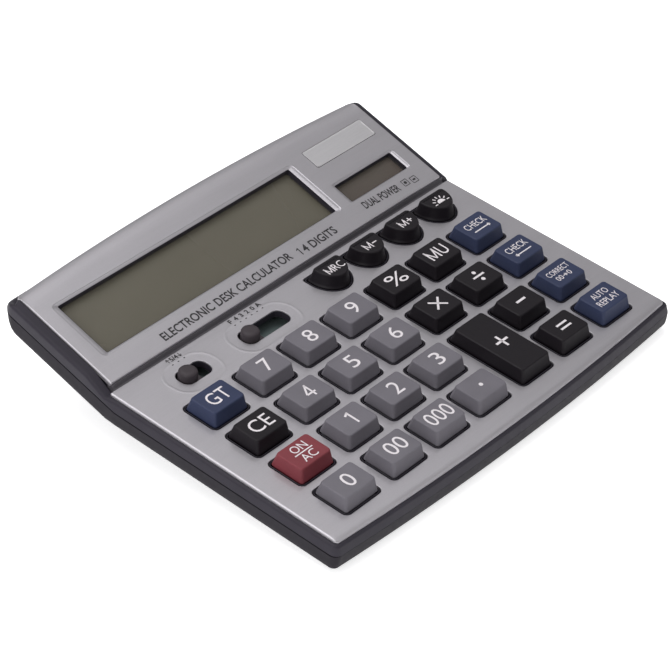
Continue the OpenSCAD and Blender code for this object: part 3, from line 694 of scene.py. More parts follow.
def rolled_plate(outline, sign, drops, thickness, collars):
    """A plate whose edge rolls down.

    outline(share) is drawn in by that share of the roll's reach. drops are the roll's drops along the sides
    and at the end that sign points to. Each collar is a hole's (outline function, profile).
    """
    shape = Shape()
    outer = outline(0)
    fall = [drops[0] + (drops[1] - drops[0]) * share for share in end_share(outer, sign)]
    rings = [[(x, y, -drop - thickness) for (x, y), drop in zip(outline(1), fall)],
             [(x, y, -drop - thickness) for (x, y), drop in zip(outer, fall)]]
    for i in range(ROLL_STEPS + 1):
        a = math.pi / 2 * i / ROLL_STEPS
        line = outline(1 - math.cos(a))
        rings.append([(x, y, -drop * (1 - math.sin(a))) for (x, y), drop in zip(line, fall)])
    made = shape.loft(rings)
    tops, feet = [], []
    for opening, profile in collars:
        loft = shape.loft([lifted(opening(grow), level) for grow, level in profile])
        tops.append(loft[0])
        feet.append(loft[-1])
    shape.fill(made[-1], tops)
    under = shape.ring([(shape.points[i].x, shape.points[i].y, -thickness) for i in made[-1]])
    shape.bridge(made[0], under)
    shape.fill(under, feet)
    return shape


# The keypad plate: thickness, insets from the case, rear edge, corners, and its edge's roll in and down
KEY_PLATE_T = 0.55
KEY_PLATE_SIDE = 1.95
KEY_PLATE_FRONT = 1.3
KEY_PLATE_REAR = 50.1
KEY_PLATE_R = 1.3
KEY_ROLL = (0.7, 2.6)
KEY_DROP = (0.4, 0.75)


def keypad_outline(share=0.0):
    """The keypad plate seen square on, from its rear right corner, drawn in by a share of its roll."""
    side = KEY_PLATE_SIDE + KEY_ROLL[0] * share
    end = KEY_PLATE_FRONT + KEY_ROLL[1] * share
    ends = turned_round(bulged_end(HIGH.x - side, -LOW.y - end, FRONT_BULGE, KEY_PLATE_R))
    origin = KEYPAD.translation.y
    front = [(x, (y - origin) / math.cos(KEY_TILT)) for x, y in ends]
    rear = KEY_PLATE_REAR - 0.25 * share
    x = HIGH.x - side
    cut = 0.3
    return [(x, rear - cut), (x - cut, rear), (cut - x, rear), (-x, rear - cut)] + front


KEY_EDGE = [(0.22, 0), (0.1, -0.03), (0.02, -0.1), (0, -0.2), (0, -KEY_PLATE_T)]
SLOT_EDGE = [(4.5, 0), (4.1, 0.06), (3.7, 0.08), (3.3, 0.03), (2.9, 0), (0.3, 0), (0.08, -0.05),
             (0, -0.18), (0, -KEY_PLATE_T)]


def keypad_faceplate():
    collars = [(lambda grow, n=n: key_opening(n, grow), KEY_EDGE) for n in KEYS]
    collars += [(lambda grow, s=s: slot_opening(s, grow), SLOT_EDGE) for s in SLOTS]
    shape = rolled_plate(keypad_outline, -1, KEY_DROP, KEY_PLATE_T, collars)
    piece("keypad_faceplate_visual", shape, "case", SILVER, KEYPAD, ["keypad_faceplate"])


# The display plate: thickness, half width, shift, edges, corners, and its edge's roll in and down
DISPLAY_PLATE_T = 0.9
DISPLAY_HALF_W = 75.25
DISPLAY_SHIFT_X = -0.5
DISPLAY_FRONT_V = -0.8
DISPLAY_REAR = 2.35
DISPLAY_R = 2
DISPLAY_ROLL = (0.45, 6)
DISPLAY_DROP = (0.45, 1.5)
FRAME_EDGE = [(2.1, 0), (2, -0.06), (1.8, -0.15), (1.15, -0.15), (1.05, -0.18), (0.15, -0.36), (0.04, -0.4),
              (0, -0.46), (0, -DISPLAY_PLATE_T)]


def display_outline(share=0.0):
    """The display plate seen square on, drawn in by a share of its roll."""
    half_w = DISPLAY_HALF_W - DISPLAY_ROLL[0] * share
    origin = DISPLAY.translation.y - DISPLAY_DROP[1] * math.sin(DISPLAY_TILT)
    rear_v = (HIGH.y - DISPLAY_REAR - origin) / math.cos(DISPLAY_TILT) - DISPLAY_ROLL[1] * share
    front_v = DISPLAY_FRONT_V + 0.3 * share
    cut = 0.4
    front = [(-half_w, front_v + cut), (cut - half_w, front_v),
             (half_w - cut, front_v), (half_w, front_v + cut)]
    return moved(bulged_end(half_w, rear_v, REAR_BULGE, DISPLAY_R) + front, DISPLAY_SHIFT_X, 0)


def display_faceplate():
    collars = [(LCD_OPENING, FRAME_EDGE), (SOLAR_OPENING, FRAME_EDGE)]
    shape = rolled_plate(display_outline, 1, DISPLAY_DROP, DISPLAY_PLATE_T, collars)
    piece("display_faceplate_visual", shape, "case", SILVER, DISPLAY, ["display_faceplate"])


# ---- Upper case ----


def slab(outline, openings, low, high):
    """A flat slab with openings right through it."""
    shape = Shape()
    made = shape.loft([lifted(outline, z) for z in (low, high)])
    lows, highs = [], []
    for opening in openings:
        holes = shape.loft([lifted(opening, z) for z in (low, high)])
        lows.append(holes[0])
        highs.append(holes[1])
    shape.fill(made[0], lows)
    shape.fill(made[1], highs)
    return shape


# The dark collar in each key's opening: its gap to the plate, thickness and top
COLLAR_GAP = 0.36
COLLAR_T = 0.26
COLLAR_Z = -0.08


def opening_lip(outer, inner, low, high):
    """A thin upright collar between two outlines, rounded on top."""
    shape = Shape()
    middle = [((a[0] + b[0]) / 2, (a[1] + b[1]) / 2) for a, b in zip(outer, inner)]
    shoulder = high - 0.05
    shape.loft([lifted(outer, low), lifted(outer, shoulder), lifted(middle, high), lifted(inner, shoulder),
                lifted(inner, low)])
    return shape


# The lowest and highest level of the sheet under each plate, and how far it shows inside an opening
KEY_SLAB = (-2.4, -1.75)
DISPLAY_SLAB = (-2.6, -1.95)
SNUG = 0.02


def upper_case():
    """The wall, the sheets under both plates, and the collars and lips in their openings."""
    shape = upper_wall()
    openings = [key_opening(n, -SNUG) for n in KEYS] + [slot_opening(s, -SNUG) for s in SLOTS]
    shape.add(slab(keypad_outline(1), openings, *KEY_SLAB), KEYPAD)
    for n in KEYS:
        outer, inner = (key_opening(n, -gap) for gap in (COLLAR_GAP, COLLAR_GAP + COLLAR_T))
        shape.add(opening_lip(outer, inner, KEY_SLAB[0], COLLAR_Z), KEYPAD)
    for s in SLOTS:
        outer, inner = (slot_opening(s, -gap) for gap in (SNUG, 0.15))
        shape.add(opening_lip(outer, inner, KEY_SLAB[0], -0.35), KEYPAD)
    windows = [LCD_OPENING(-0.03), SOLAR_OPENING(-0.03)]
    shape.add(slab(display_outline(1), windows, *DISPLAY_SLAB), DISPLAY)
    for opening, low in ((LCD_OPENING, -1.88), (SOLAR_OPENING, -1.58)):
        shape.add(opening_lip(opening(-SNUG), opening(-0.1), low, -0.4), DISPLAY)
        shape.add(opening_lip(opening(0.6), opening(-SNUG), low, -0.95), DISPLAY)
    piece("upper_case_visual", shape, "case", CASE, None, ["upper_case"])
    riser()


# ---- Lower case ----

BASE_Z = 1
# The belly: half its width, its front and rear rows, and its corners' radius
BELLY = (62, -59.5, 46.5, 8)
BELLY_BULGE = 0.3
BELLY_WALL = 1.8


def belly_ring(inset, z=None):
    """A ring round the belly, level at z, or on the rim's underside where z isn't given."""
    half_w, front_y, rear_y, r = BELLY
    x = half_w - inset
    rear = bulged_end(x, rear_y - inset, BELLY_BULGE, r - inset)
    front = turned_round(bulged_end(x, -front_y - inset, BELLY_BULGE, r - inset))
    stations = [fold_y(*RIM), RISER_Y, RISER_Y, CLIMB_Y]
    outline = rear + [(-x, y) for y in reversed(stations)] + front + [(x, y) for y in stations]
    if z is not None:
        return lifted(outline, z)
    return [(px, py, max(key_line(py, RIM[0]), display_line(py, RIM[1]))) for px, py in outline]


# The lower wall's profile: inset, more inset at the front and at the rear, height over the rim's underside
LOWER_WALL = [(1.3, 0.8, 2.6, 0), (0.7, 0.8, 2.4, 0.05), (0.25, 0.75, 1.9, 0.35), (0.05, 0.65, 1.2, 1),
              (0, 0.5, 0.7, 1.8), (0, 0.3, 0.3, 2.8)]


def lower_shell():
    """The shell as one closed skin: up outside from the base, over the seam, and down inside."""
    rings = [belly_ring(1.4, BASE_Z), belly_ring(0.4, BASE_Z + 0.35), belly_ring(0, BASE_Z + 1.4)]
    rings.append(belly_ring(0))
    for inset, more, rear_more, lift in LOWER_WALL:
        front = Line(inset, inset + more, RIM[0] + lift, RIM[0] + lift)
        rear = Line(inset, inset + rear_more, RIM[1] + lift, RIM[1] + lift)
        rings.append(case_ring(front, rear))
    key_seam, display_seam = SEAM
    for inset, end, drop, end_drop in SEAM_EDGE:
        front = Line(inset, end, key_seam - drop, key_seam - end_drop)
        rings.append(case_ring(front, even(inset, display_seam - drop)))
    rings.append(case_ring(even(SEAM_TONGUE, key_seam - drop), even(SEAM_TONGUE, display_seam - drop)))
    rise = SEAM_TONGUE_RISE
    for inset in (SEAM_TONGUE, WALL):
        rings.append(case_ring(even(inset, key_seam + rise), even(inset, display_seam + rise)))
    rings.append(case_ring(even(WALL, -7.2), even(WALL, -8.4)))
    rings.append([(x, y, z + 1.6) for x, y, z in belly_ring(BELLY_WALL)])
    rings.append(belly_ring(BELLY_WALL, BASE_Z + 1.6))
    shape = Shape()
    shape.loft(rings, True, True)
    return shape


# The battery bay: half its width inside, its front row, its walls, and their tops
BAY_X = 28.9
BAY_FRONT = 27.5
BAY_WALL = 1.5
BAY_TOP = 17.8
BAY_FRONT_TOP = 12
# The door: its thickness, its upstand's top, the tongues at its sides, and the gap round it
DOOR_T = 1.6
DOOR_TOP = 12
DOOR_TONGUE_W = 1.8
DOOR_TONGUE_T = 0.8
DOOR_GAP = 0.3
# A row behind the whole object
BEHIND = 60


def door_cutter():
    """The door's opening in the base."""
    shape = Shape()
    front = BAY_FRONT - DOOR_GAP / 2
    shape.box((-BAY_X, front, 0), (BAY_X, BEHIND, BASE_Z + DOOR_T + 0.1))
    return shape


def rear_cutter():
    """The opening in the rear wall that the door's upstand fills."""
    shape = Shape()
    shape.box((-BAY_X, BELLY[2] - BELLY_WALL - 1, BASE_Z + 1), (BAY_X, BEHIND, DOOR_TOP + DOOR_GAP))
    return shape


FOOT_R = 5
FEET = [(-50, -50.5), (50, -50.5), (-50, 37.5), (50, 37.5)]
# The case screws: half the distance across and the rows, in the keypad's plane and in the display's
KEY_SCREW_X = 72.6
KEY_SCREW_ROWS = (-30, 33)
DISPLAY_SCREW_X = 74.3
DISPLAY_SCREW_ROW = 29
SCREW_HOLE_R = 2.4


def cylinder(x, y, r, low, high, steps=32):
    shape = Shape()
    shape.prism(circle(x, y, r, steps), low, high)
    return shape


def screw_places():
    """The frame of each case screw: origin where the rim's underside is, Z along the screw."""
    x, far_x = KEY_SCREW_X, DISPLAY_SCREW_X
    places = [KEYPAD @ Matrix.Translation((side, y, RIM[0])) for side in (-x, x) for y in KEY_SCREW_ROWS]
    places += [DISPLAY @ Matrix.Translation((side, DISPLAY_SCREW_ROW, RIM[1])) for side in (-far_x, far_x)]
    return places


def lower_case():
    """The shell with its door opening, foot pockets and screw holes, and the battery bay inside it."""
    shell = lower_shell()
    made = piece("lower_case_visual", shell, "case", LOWER_CASE_SHADED, None, ["lower_case"])
    cut(made, "door_cutter", door_cutter())
    cut(made, "rear_cutter", rear_cutter())
    pockets = Shape()
    for x, y in FEET:
        pockets.add(cylinder(x, y, FOOT_R + 0.15, BASE_Z - 1, BASE_Z + 0.8, 40))
    for place in screw_places():
        pockets.add(cylinder(0, 0, SCREW_HOLE_R, -1, 2, 28), place)
    cut(made, "pockets", pockets)
    battery_bay()


def battery_bay():
    """The walls at the sides and the front of the battery."""
    shape = Shape()
    front = BAY_FRONT - BAY_WALL
    floor = BASE_Z + 1.4
    wall_x = BAY_X + DOOR_TONGUE_W + 0.15 + BAY_WALL
    for low_x, high_x in ((-wall_x, -BAY_X), (BAY_X, wall_x)):
        shape.box((low_x, front, floor), (high_x, BELLY[2] - 1, BAY_TOP))
    shape.box((-BAY_X, front, floor), (BAY_X, BAY_FRONT, BAY_FRONT_TOP))
    piece("battery_bay_visual", shape, "case", LOWER_CASE_SHADED)


# The ribs of the door's grip: how many, their pitch, the first one's distance from the rear, and their size
RIBS = 6
RIB_PITCH = 1.3
RIB_ROW = 3.2
RIB_SIZE = (18, 0.6)
DOOR_ARROW = [(-2, 33), (2, 33), (0, 35.4)]
GRIP_Z = (BASE_Z - 0.25, BASE_Z + 0.2)


def battery_door():
    """The door: floor, upstand and tongues, with grip ribs and an arrow on its underside."""
    shape = Shape()
    w = BAY_X - DOOR_GAP
    front, rear = BAY_FRONT + DOOR_GAP, BELLY[2]
    middle_y, depth = (front + rear) / 2, rear - front
    edge = 0.3
    floor = moved(rounded_rect(2 * w, depth, 0.8, 4), 0, middle_y)
    shrunk = moved(rounded_rect(2 * w - 2 * edge, depth - 2 * edge, 0.6, 4), 0, middle_y)
    top_z = BASE_Z + DOOR_T
    shape.loft([lifted(shrunk, BASE_Z), lifted(floor, BASE_Z + edge), lifted(floor, top_z)], True, True)
    side = [(rear - DOOR_T, BASE_Z + 0.8), (rear, BASE_Z + 0.8), (rear, DOOR_TOP - edge),
            (rear - edge, DOOR_TOP), (rear - DOOR_T, DOOR_TOP)]
    shape.loft([[(x, y, z) for y, z in side] for x in (-w, w)], True, True)
    tongue_x = BAY_X + DOOR_TONGUE_W - 0.15
    tongue_rear = rear - BELLY_WALL - 0.7
    shape.box((-tongue_x, front + 0.2, top_z - DOOR_TONGUE_T), (tongue_x, tongue_rear, top_z))
    for i in range(RIBS):
        rib = rounded_rect(*RIB_SIZE, 0.25, 3)
        shape.prism(moved(rib, 0, rear - RIB_ROW - RIB_PITCH * i), *GRIP_Z)
    shape.prism(DOOR_ARROW, *GRIP_Z)
    piece("battery_door_visual", shape, "battery_door_body", CASE, None, ["battery_door"])


# A foot's profile: radius and height, from its hollowed sole up
FOOT_PROFILE = [(2.6, 0.25), (3.6, 0), (4.5, 0), (4.85, 0.12), (FOOT_R, 0.4), (FOOT_R, 1.75)]


def rubber_feet():
    shape = Shape()
    for x, y in FEET:
        shape.loft([lifted(circle(x, y, r, 40), z) for r, z in FOOT_PROFILE], True, True)
    piece("rubber_feet_visual", shape, "case", RUBBER, None, ["rubber_feet"])


# A case screw's profile: radius and height from the edge of its flat face to the end of its shank
SCREW_PROFILE = [(1.5, 0.62), (1.9, 0.75), (2.1, 1), (2.1, 1.95), (1.1, 2), (1.1, 6.2)]
RECESS_Z = 1.35


def case_screws():
    """Pan heads with a cross recess, and their shanks."""
    shape = Shape()
    head = Shape()
    head.loft([lifted(circle(0, 0, r, 28), z) for r, z in SCREW_PROFILE], False, True)
    arm, half = 1.15, 0.28
    quarter = [(arm, -half), (arm, half), (half, half)]
    cross = []
    for _ in range(4):
        cross += quarter
        quarter = [(-y, x) for x, y in quarter]
    flat_r, flat_z = SCREW_PROFILE[0]
    outer = head.ring(lifted(circle(0, 0, flat_r, 28), flat_z))
    shrink = 0.8
    floor = [(x * shrink, y * shrink, RECESS_Z) for x, y in cross]
    recess = head.loft([lifted(cross, flat_z), floor], False, True)
    head.fill(outer, [recess[0]])
    for place in screw_places():
        shape.add(head, place)
    piece("case_screws_visual", shape, "case", SCREW, None, ["case_screws"])


# ---- Keys and knobs ----

# Key caps: the sides' draft across and along, the flare of a memory key, the flange under the plate, the
# rounding of the top, the neck in the opening, and the share of the draft below the rounding
DRAFT = (0.5, 1.05)
MEMORY_DRAFT = 0.5
MEMORY_FLARE = 0.5
FLANGE_Z = (-3.2, -2.5)
TOP_R = 0.42
NECK = 0.55
STRAIGHT_DRAFT = 0.94
CAP_WALL = 1.2
CAP_R_GAIN = 0.25
LEAST_CAP_R = 0.5
STEM_R = 2


def side_profile(top):
    """How far a key's side has drawn in at each height: (share of the draft, inset, height)."""
    profile = [(0, NECK, FLANGE_Z[1]), (0, NECK, -0.35), (0, 0.05, -0.05), (0, 0, 0.05)]
    profile.append((STRAIGHT_DRAFT, 0, top - TOP_R))
    for inset, level in rounded_up((0, 0), (TOP_R, TOP_R))[1:]:
        share = STRAIGHT_DRAFT + (1 - STRAIGHT_DRAFT) * level / TOP_R
        profile.append((share, inset, top - TOP_R + level))
    return profile


def key_cap(node, stuff):
    """A hollow cap with a flange, a flared foot, drafted sides and a rounded top."""
    centre, w, d, top = key_place(node)
    shape = Shape()
    place = Matrix.Translation((centre.x, centre.y, 0))
    neck_w, neck_d, neck_r = w - 2 * KEY_GAP, d - 2 * KEY_GAP, KEY_R - KEY_GAP
    inner = rounded_rect(neck_w - 4 * CAP_WALL, neck_d - 4 * CAP_WALL, LEAST_CAP_R)
    flange = rounded_rect(w + 2 * FLANGE, d + 2 * FLANGE, KEY_R + FLANGE)
    roof = top - CAP_WALL
    rings = [lifted(inner, roof), lifted(inner, FLANGE_Z[0])]
    rings += [lifted(flange, z) for z in FLANGE_Z]
    for share, inset, z in side_profile(top):
        top_w = neck_w - 2 * (share * DRAFT[0] + inset)
        top_d = neck_d - 2 * (share * DRAFT[1] + inset)
        r = max(neck_r + CAP_R_GAIN * share - inset, LEAST_CAP_R)
        rings.append(lifted(rounded_rect(top_w, top_d, r), z))
    shape.loft(rings, True, True)
    shape.add(cylinder(0, 0, STEM_R, FLANGE_Z[0], roof))
    piece(node + "_visual", shape.moved(place), node + "_body", stuff, KEYPAD, [node], 30)


def memory_key(node):
    """A flat-backed, round-fronted cap with a wider flare at its foot."""
    centre, w, d, top = key_place(node)
    shape = Shape()
    place = Matrix.Translation((centre.x, centre.y + d / 2, 0))

    def ring(inset, z):
        return lifted(memory_outline(w, d, -inset), z)

    rings = [ring(3.2, FLANGE_Z[0]), ring(-FLANGE, FLANGE_Z[0]), ring(-FLANGE, FLANGE_Z[1])]
    for _, inset, z in side_profile(top)[:4]:
        rings.append(ring(KEY_GAP + inset, z))
    for i in range(1, 5):
        rings.append(ring(KEY_GAP + MEMORY_FLARE * math.sin(math.pi / 8 * i), 0.3 * i))
    for share, inset, z in side_profile(top)[4:]:
        rings.append(ring(KEY_GAP + MEMORY_FLARE + share * MEMORY_DRAFT + inset, z))
    shape.loft(rings, True, True)
    piece(node + "_visual", shape.moved(place), node + "_body", KEY_BLACK, KEYPAD, [node], 30)


KNOB_TOP = 2.6
KNOB_ROUND = (1.3, 1.1)


def switch_knob(switch):
    """A round domed knob with its flange and stem under the plate."""
    node = switch + "_knob"
    low, high = span(node, KEYPAD)
    centre = (low + high) / 2
    size = high - low
    shoulder = KNOB_TOP - KNOB_ROUND[1]
    profile = [(KNOB_R, FLANGE_Z[1]), (KNOB_R, 0.3)]
    for inset, level in rounded_up((0, 0), KNOB_ROUND, 7):
        profile.append((KNOB_R - 0.06 - inset, shoulder + level))
    profile.append((0.6, KNOB_TOP))
    shape = Shape()
    shape.loft([lifted(circle(centre.x, SLOT_Y, r, 36), z) for r, z in profile], True, True)
    flange = moved(rounded_rect(size.x, size.y, 0.5), centre.x, SLOT_Y)
    shape.prism(flange, FLANGE_Z[1] - 0.8, FLANGE_Z[1])
    shape.box((centre.x - 2, SLOT_Y - 2, low.z), (centre.x + 2, SLOT_Y + 2, FLANGE_Z[1] - 0.7))
    piece(node + "_visual", shape, switch, KNOB, KEYPAD, [node])


BLUE_KEYS = ["key_grand_total", "key_check_forward", "key_check_back", "key_correct", "key_auto_replay"]
GREY_KEYS = ["key_" + n for n in ("0", "1", "2", "3", "4", "5", "6", "7", "8", "9", "00", "000", "point")]


def keys():
    for node in KEYS:
        if node in MEMORY_KEYS:
            memory_key(node)
        elif node in GREY_KEYS:
            key_cap(node, KEY_GREY)
        elif node in BLUE_KEYS:
            key_cap(node, KEY_BLUE)
        elif node == "key_on_all_clear":
            key_cap(node, KEY_RED)
        else:
            key_cap(node, KEY_BLACK)


# ---- Display ----


def display_ring(node, r, inset, z=0.0):
    """The outline of a flat node on the display plate, drawn in by inset, as a ring at level z."""
    low, high = span(node, DISPLAY)
    centre = (low + high) / 2
    size = high - low
    outline = rounded_rect(size.x - 2 * inset, size.y - 2 * inset, r)
    return lifted(moved(outline, centre.x, centre.y), z)


def window(node):
    """A clear pane with softened edges."""
    low, high = span(node, DISPLAY)
    edge, r = 0.2, 1
    rings = [display_ring(node, r, 0, low.z), display_ring(node, r, 0, high.z - edge),
             display_ring(node, r, edge, high.z)]
    shape = Shape()
    shape.loft(rings, True, True)
    piece(node + "_visual", shape, "case", CLEAR, DISPLAY, [node])


# The badge's profile, (inset, level), and the insets of the thin dark line round its edge
BADGE_PROFILE = [(0, 0), (0, 0.14), (0.08, 0.24), (0.3, 0.24), (0.42, 0.1)]
BADGE_LINE = (-0.22, -0.01)
BADGE_R = 0.6


def badge():
    """A blank badge: a raised frame round a sunk face, with a thin dark line round its edge."""
    shape = Shape()
    shape.loft([display_ring("badge_plate", BADGE_R, inset, z) for inset, z in BADGE_PROFILE], True, True)
    piece("badge_plate_visual", shape, "case", BADGE, DISPLAY, ["badge_plate"])
    # A thin dark ring in black ink, hugging the badge's edge
    outer, inner = (display_ring("badge_plate", BADGE_R, inset) for inset in BADGE_LINE)
    outer, inner = ([(x, y) for x, y, _ in ring] for ring in (outer, inner))
    print_on("badge_print", opening_lip(outer, inner, 0.01, PRINT_LIFT), "case", BLACK_INK, DISPLAY)


# ---- Lettering ----

# How far ink stands over its plane, and how much bolder than the font the words on the display plate are
PRINT_LIFT = 0.03
PRINT_WEIGHT = 0.02


def text_shape(text, height, width=None, weight=0.0):
    """Text in the built-in font as a flat shape about the origin, scaled to a cap height and a width."""
    curve = bpy.data.curves.new("text", "FONT")
    curve.body = text
    curve.resolution_u = 4
    curve.offset = weight
    made = bpy.data.objects.new("text", curve)
    bpy.context.scene.collection.objects.link(made)
    graph = bpy.context.evaluated_depsgraph_get()
    mesh = bpy.data.meshes.new_from_object(made.evaluated_get(graph))
    points = [v.co.copy() for v in mesh.vertices]
    faces = [tuple(p.vertices) for p in mesh.polygons]
    bpy.data.objects.remove(made)
    bpy.data.meshes.remove(mesh)
    low = [min(p[i] for p in points) for i in (0, 1)]
    high = [max(p[i] for p in points) for i in (0, 1)]
    scale_y = height / (high[1] - low[1])
    scale_x = width / (high[0] - low[0]) if width else scale_y
    shape = Shape()
    middle = [(low[i] + high[i]) / 2 for i in (0, 1)]
    shape.points = [Vector(((p.x - middle[0]) * scale_x, (p.y - middle[1]) * scale_y, 0)) for p in points]
    shape.faces = faces
    return shape


def at(x, y, z=0.0, turn=0.0):
    return Matrix.Translation((x, y, z)) @ Matrix.Rotation(turn, 4, "Z")


def arrow(length, stroke, pointing=1):
    """A straight arrow along X about the origin."""
    shape = Shape()
    half = length / 2
    tip = half * pointing
    shape.bar((-half, 0), (half, 0), stroke, 0)
    for side in (-1, 1):
        shape.bar((tip, 0), (tip - 0.9 * pointing, side * 0.55), stroke, 0)
    return shape


def figure_one(height, stroke):
    """A figure one with its flag."""
    shape = Shape()
    x, top = height * 0.08, height / 2
    shape.bar((x, -top), (x, top), stroke, 0)
    shape.bar((x, top - stroke / 2), (x - height * 0.28, top - height * 0.22), stroke, 0)
    return shape


def figure_four(height, stroke):
    """A figure four with an open counter."""
    shape = Shape()
    x, top = height * 0.13, height / 2
    left, bar_y = -height * 0.32, -height * 0.22
    shape.bar((x, -top), (x, top), stroke, 0)
    shape.bar((x, top - stroke / 2), (left, bar_y), stroke * 0.9, 0)
    shape.bar((left, bar_y), (height * 0.34, bar_y), stroke, 0)
    return shape


def letter_m(height, width, stroke):
    """A capital M whose middle strokes meet at the base line."""
    shape = Shape()
    x, top = (width - stroke) / 2, height / 2
    for side in (-x, x):
        shape.bar((side, -top), (side, top), stroke, 0)
        shape.bar((side, top - stroke / 2), (0, -top + stroke / 2), stroke * 0.85, 0)
    return shape


def half_sun():
    """A rising sun with seven rays."""
    shape = Shape()
    base_y, sun_r, ray_start, ray_end = -1.2, 1.6, 2.2, 3.3
    shape.faces.append(tuple(shape.ring([(x, y, 0) for x, y in arc((0, base_y), sun_r, 0, 180, 16)])))
    for i in range(7):
        a = math.pi * i / 6
        c, s = math.cos(a), math.sin(a)
        start, end = ((r * c, r * s + base_y) for r in (ray_start, ray_end))
        shape.bar(start, end, 0.4, 0)
    return shape


DIGIT_H = 5.3
DIGIT_WIDTHS = {1: 3.7, 2: 7.6, 3: 10.2}
# Words on the keys: (text, cap height, width, x, y)
KEY_WORDS = {
    "key_grand_total": [("GT", 5, 8, 0, 0)],
    "key_clear_entry": [("CE", 5, 8.2, 0, 0)],
    "key_on_all_clear": [("ON", 2.9, 5.8, 0, 2.1), ("AC", 2.9, 5.6, 0, -2.1)],
    "key_percent": [("%", 5.2, 7.6, 0, 0)],
    "key_mark_up": [("U", 4.8, 3.2, 2.3, 0)],
    "key_check_forward": [("CHECK", 2.7, 9.4, 0, 1.2)],
    "key_check_back": [("CHECK", 2.7, 9.4, 0, 1.2)],
    "key_correct": [("CORRECT", 2.2, 10, 0, 1.4), ("00", 2, 2.7, -2.6, -1.6), ("0", 2, 1.4, 2.1, -1.6)],
    "key_auto_replay": [("AUTO", 2.4, 7.4, 0, 1.7), ("REPLAY", 2.4, 9.6, 0, -1.7)],
    "key_memory_recall": [("RC", 3, 4.4, 1.6, 0)],
}
# A capital M on a key: (height, width, stroke, x)
KEY_MS = {
    "key_mark_up": (4.8, 4.2, 0.6, -2.2),
    "key_memory_recall": (3, 2.7, 0.42, -2.4),
    "key_memory_minus": (3.1, 3, 0.42, -1.3),
    "key_memory_plus": (3.1, 3, 0.42, -1.3),
}
# Straight strokes on the keys: the stroke's width, then each one's two ends
KEY_STROKES = {
    "key_on_all_clear": (0.4, [((-3.6, 0), (3.6, 0))]),
    "key_multiply": (0.7, [((-2.3, -2.1), (2.3, 2.1)), ((-2.3, 2.1), (2.3, -2.1))]),
    "key_divide": (0.75, [((-2.5, 0), (2.5, 0))]),
    "key_minus": (0.85, [((-2.1, 0), (2.1, 0))]),
    "key_equals": (0.75, [((-2.4, 0.95), (2.4, 0.95)), ((-2.4, -0.95), (2.4, -0.95))]),
    "key_plus": (0.85, [((-2.6, 0), (2.6, 0)), ((0, -2.6), (0, 2.6))]),
    "key_memory_minus": (0.42, [((0.8, 0), (2.8, 0))]),
    "key_memory_plus": (0.42, [((0.8, 0), (2.8, 0)), ((1.8, -1), (1.8, 1))]),
}
# Round dots: their radius, then each one's middle
KEY_DOTS = {"key_point": (0.7, [(0, 0)]), "key_divide": (0.7, [(0, 1.9), (0, -1.9)])}
# Arrows: length, stroke, direction, x, y
KEY_ARROWS = {
    "key_check_forward": (7.4, 0.42, 1, 0, -1.9),
    "key_check_back": (7.4, 0.42, -1, 0, -1.9),
    "key_correct": (1.8, 0.3, 1, 0.1, -1.6),
}


def key_legend(node):
    """What is printed on a key, about the middle of its top."""
    figure = node.removeprefix("key_")
    if figure == "1":
        return figure_one(DIGIT_H, 0.7)
    if figure == "4":
        return figure_four(DIGIT_H, 0.65)
    if figure.isdigit():
        return text_shape(figure, DIGIT_H, DIGIT_WIDTHS[len(figure)])
    if node == "key_backlight":
        return half_sun()
    shape = Shape()
    for text, height, width, x, y in KEY_WORDS.get(node, []):
        shape.add(text_shape(text, height, width), at(x, y))
    if node in KEY_MS:
        height, width, stroke, x = KEY_MS[node]
        shape.add(letter_m(height, width, stroke), at(x, 0))
    stroke, ends = KEY_STROKES.get(node, (0, []))
    for start, end in ends:
        shape.bar(start, end, stroke, 0)
    radius, middles = KEY_DOTS.get(node, (0, []))
    for x, y in middles:
        shape.disc(x, y, radius, 0)
    if node in KEY_ARROWS:
        length, stroke, pointing, x, y = KEY_ARROWS[node]
        shape.add(arrow(length, stroke, pointing), at(x, y))
    return shape


def key_legends():
    for node in KEYS:
        centre, _, _, top = key_place(node)
        place = at(centre.x, centre.y, top + PRINT_LIFT)
        print_on(node + "_print", key_legend(node).moved(place), node + "_body", WHITE_INK, KEYPAD)


def print_on(name, shape, body, ink, plane):
    """Flat lettering on a plane."""
    piece(name, shape, body, ink, plane)


def window_middle(node):
    """The middle of a window's opening on the display plate."""
    low, high = span(node, DISPLAY)
    return Vector(((low.x + high.x) / 2, (low.y + high.y) / 2))


def frame_text(text, height, origin, start, end):
    """Text on the display plate between two points of its middle line, measured from an origin."""
    a, b = origin + Vector(start), origin + Vector(end)
    middle = (a + b) / 2
    along = b - a
    place = at(middle.x, middle.y, PRINT_LIFT, math.atan2(along.y, along.x))
    return text_shape(text, height, along.length, PRINT_WEIGHT).moved(place)


def power_icons(origin):
    """Two small framed signs after the power legend: a lamp and a cell."""
    shape = Shape()
    half = 1.2
    lamp, cell = origin + Vector((7.6, -8.3)), origin + Vector((11.3, -8.9))
    for sign in (lamp, cell):
        corners = [sign + Vector(c) * half for c in ((-1, -1), (1, -1), (1, 1), (-1, 1))]
        for i, corner in enumerate(corners):
            shape.bar(corner, corners[(i + 1) % 4], 0.25, PRINT_LIFT)
    shape.disc(lamp.x, lamp.y, half / 2, PRINT_LIFT)
    shape.bar(cell - Vector((half / 2, 0)), cell + Vector((half / 2, 0)), 0.7, PRINT_LIFT)
    return shape


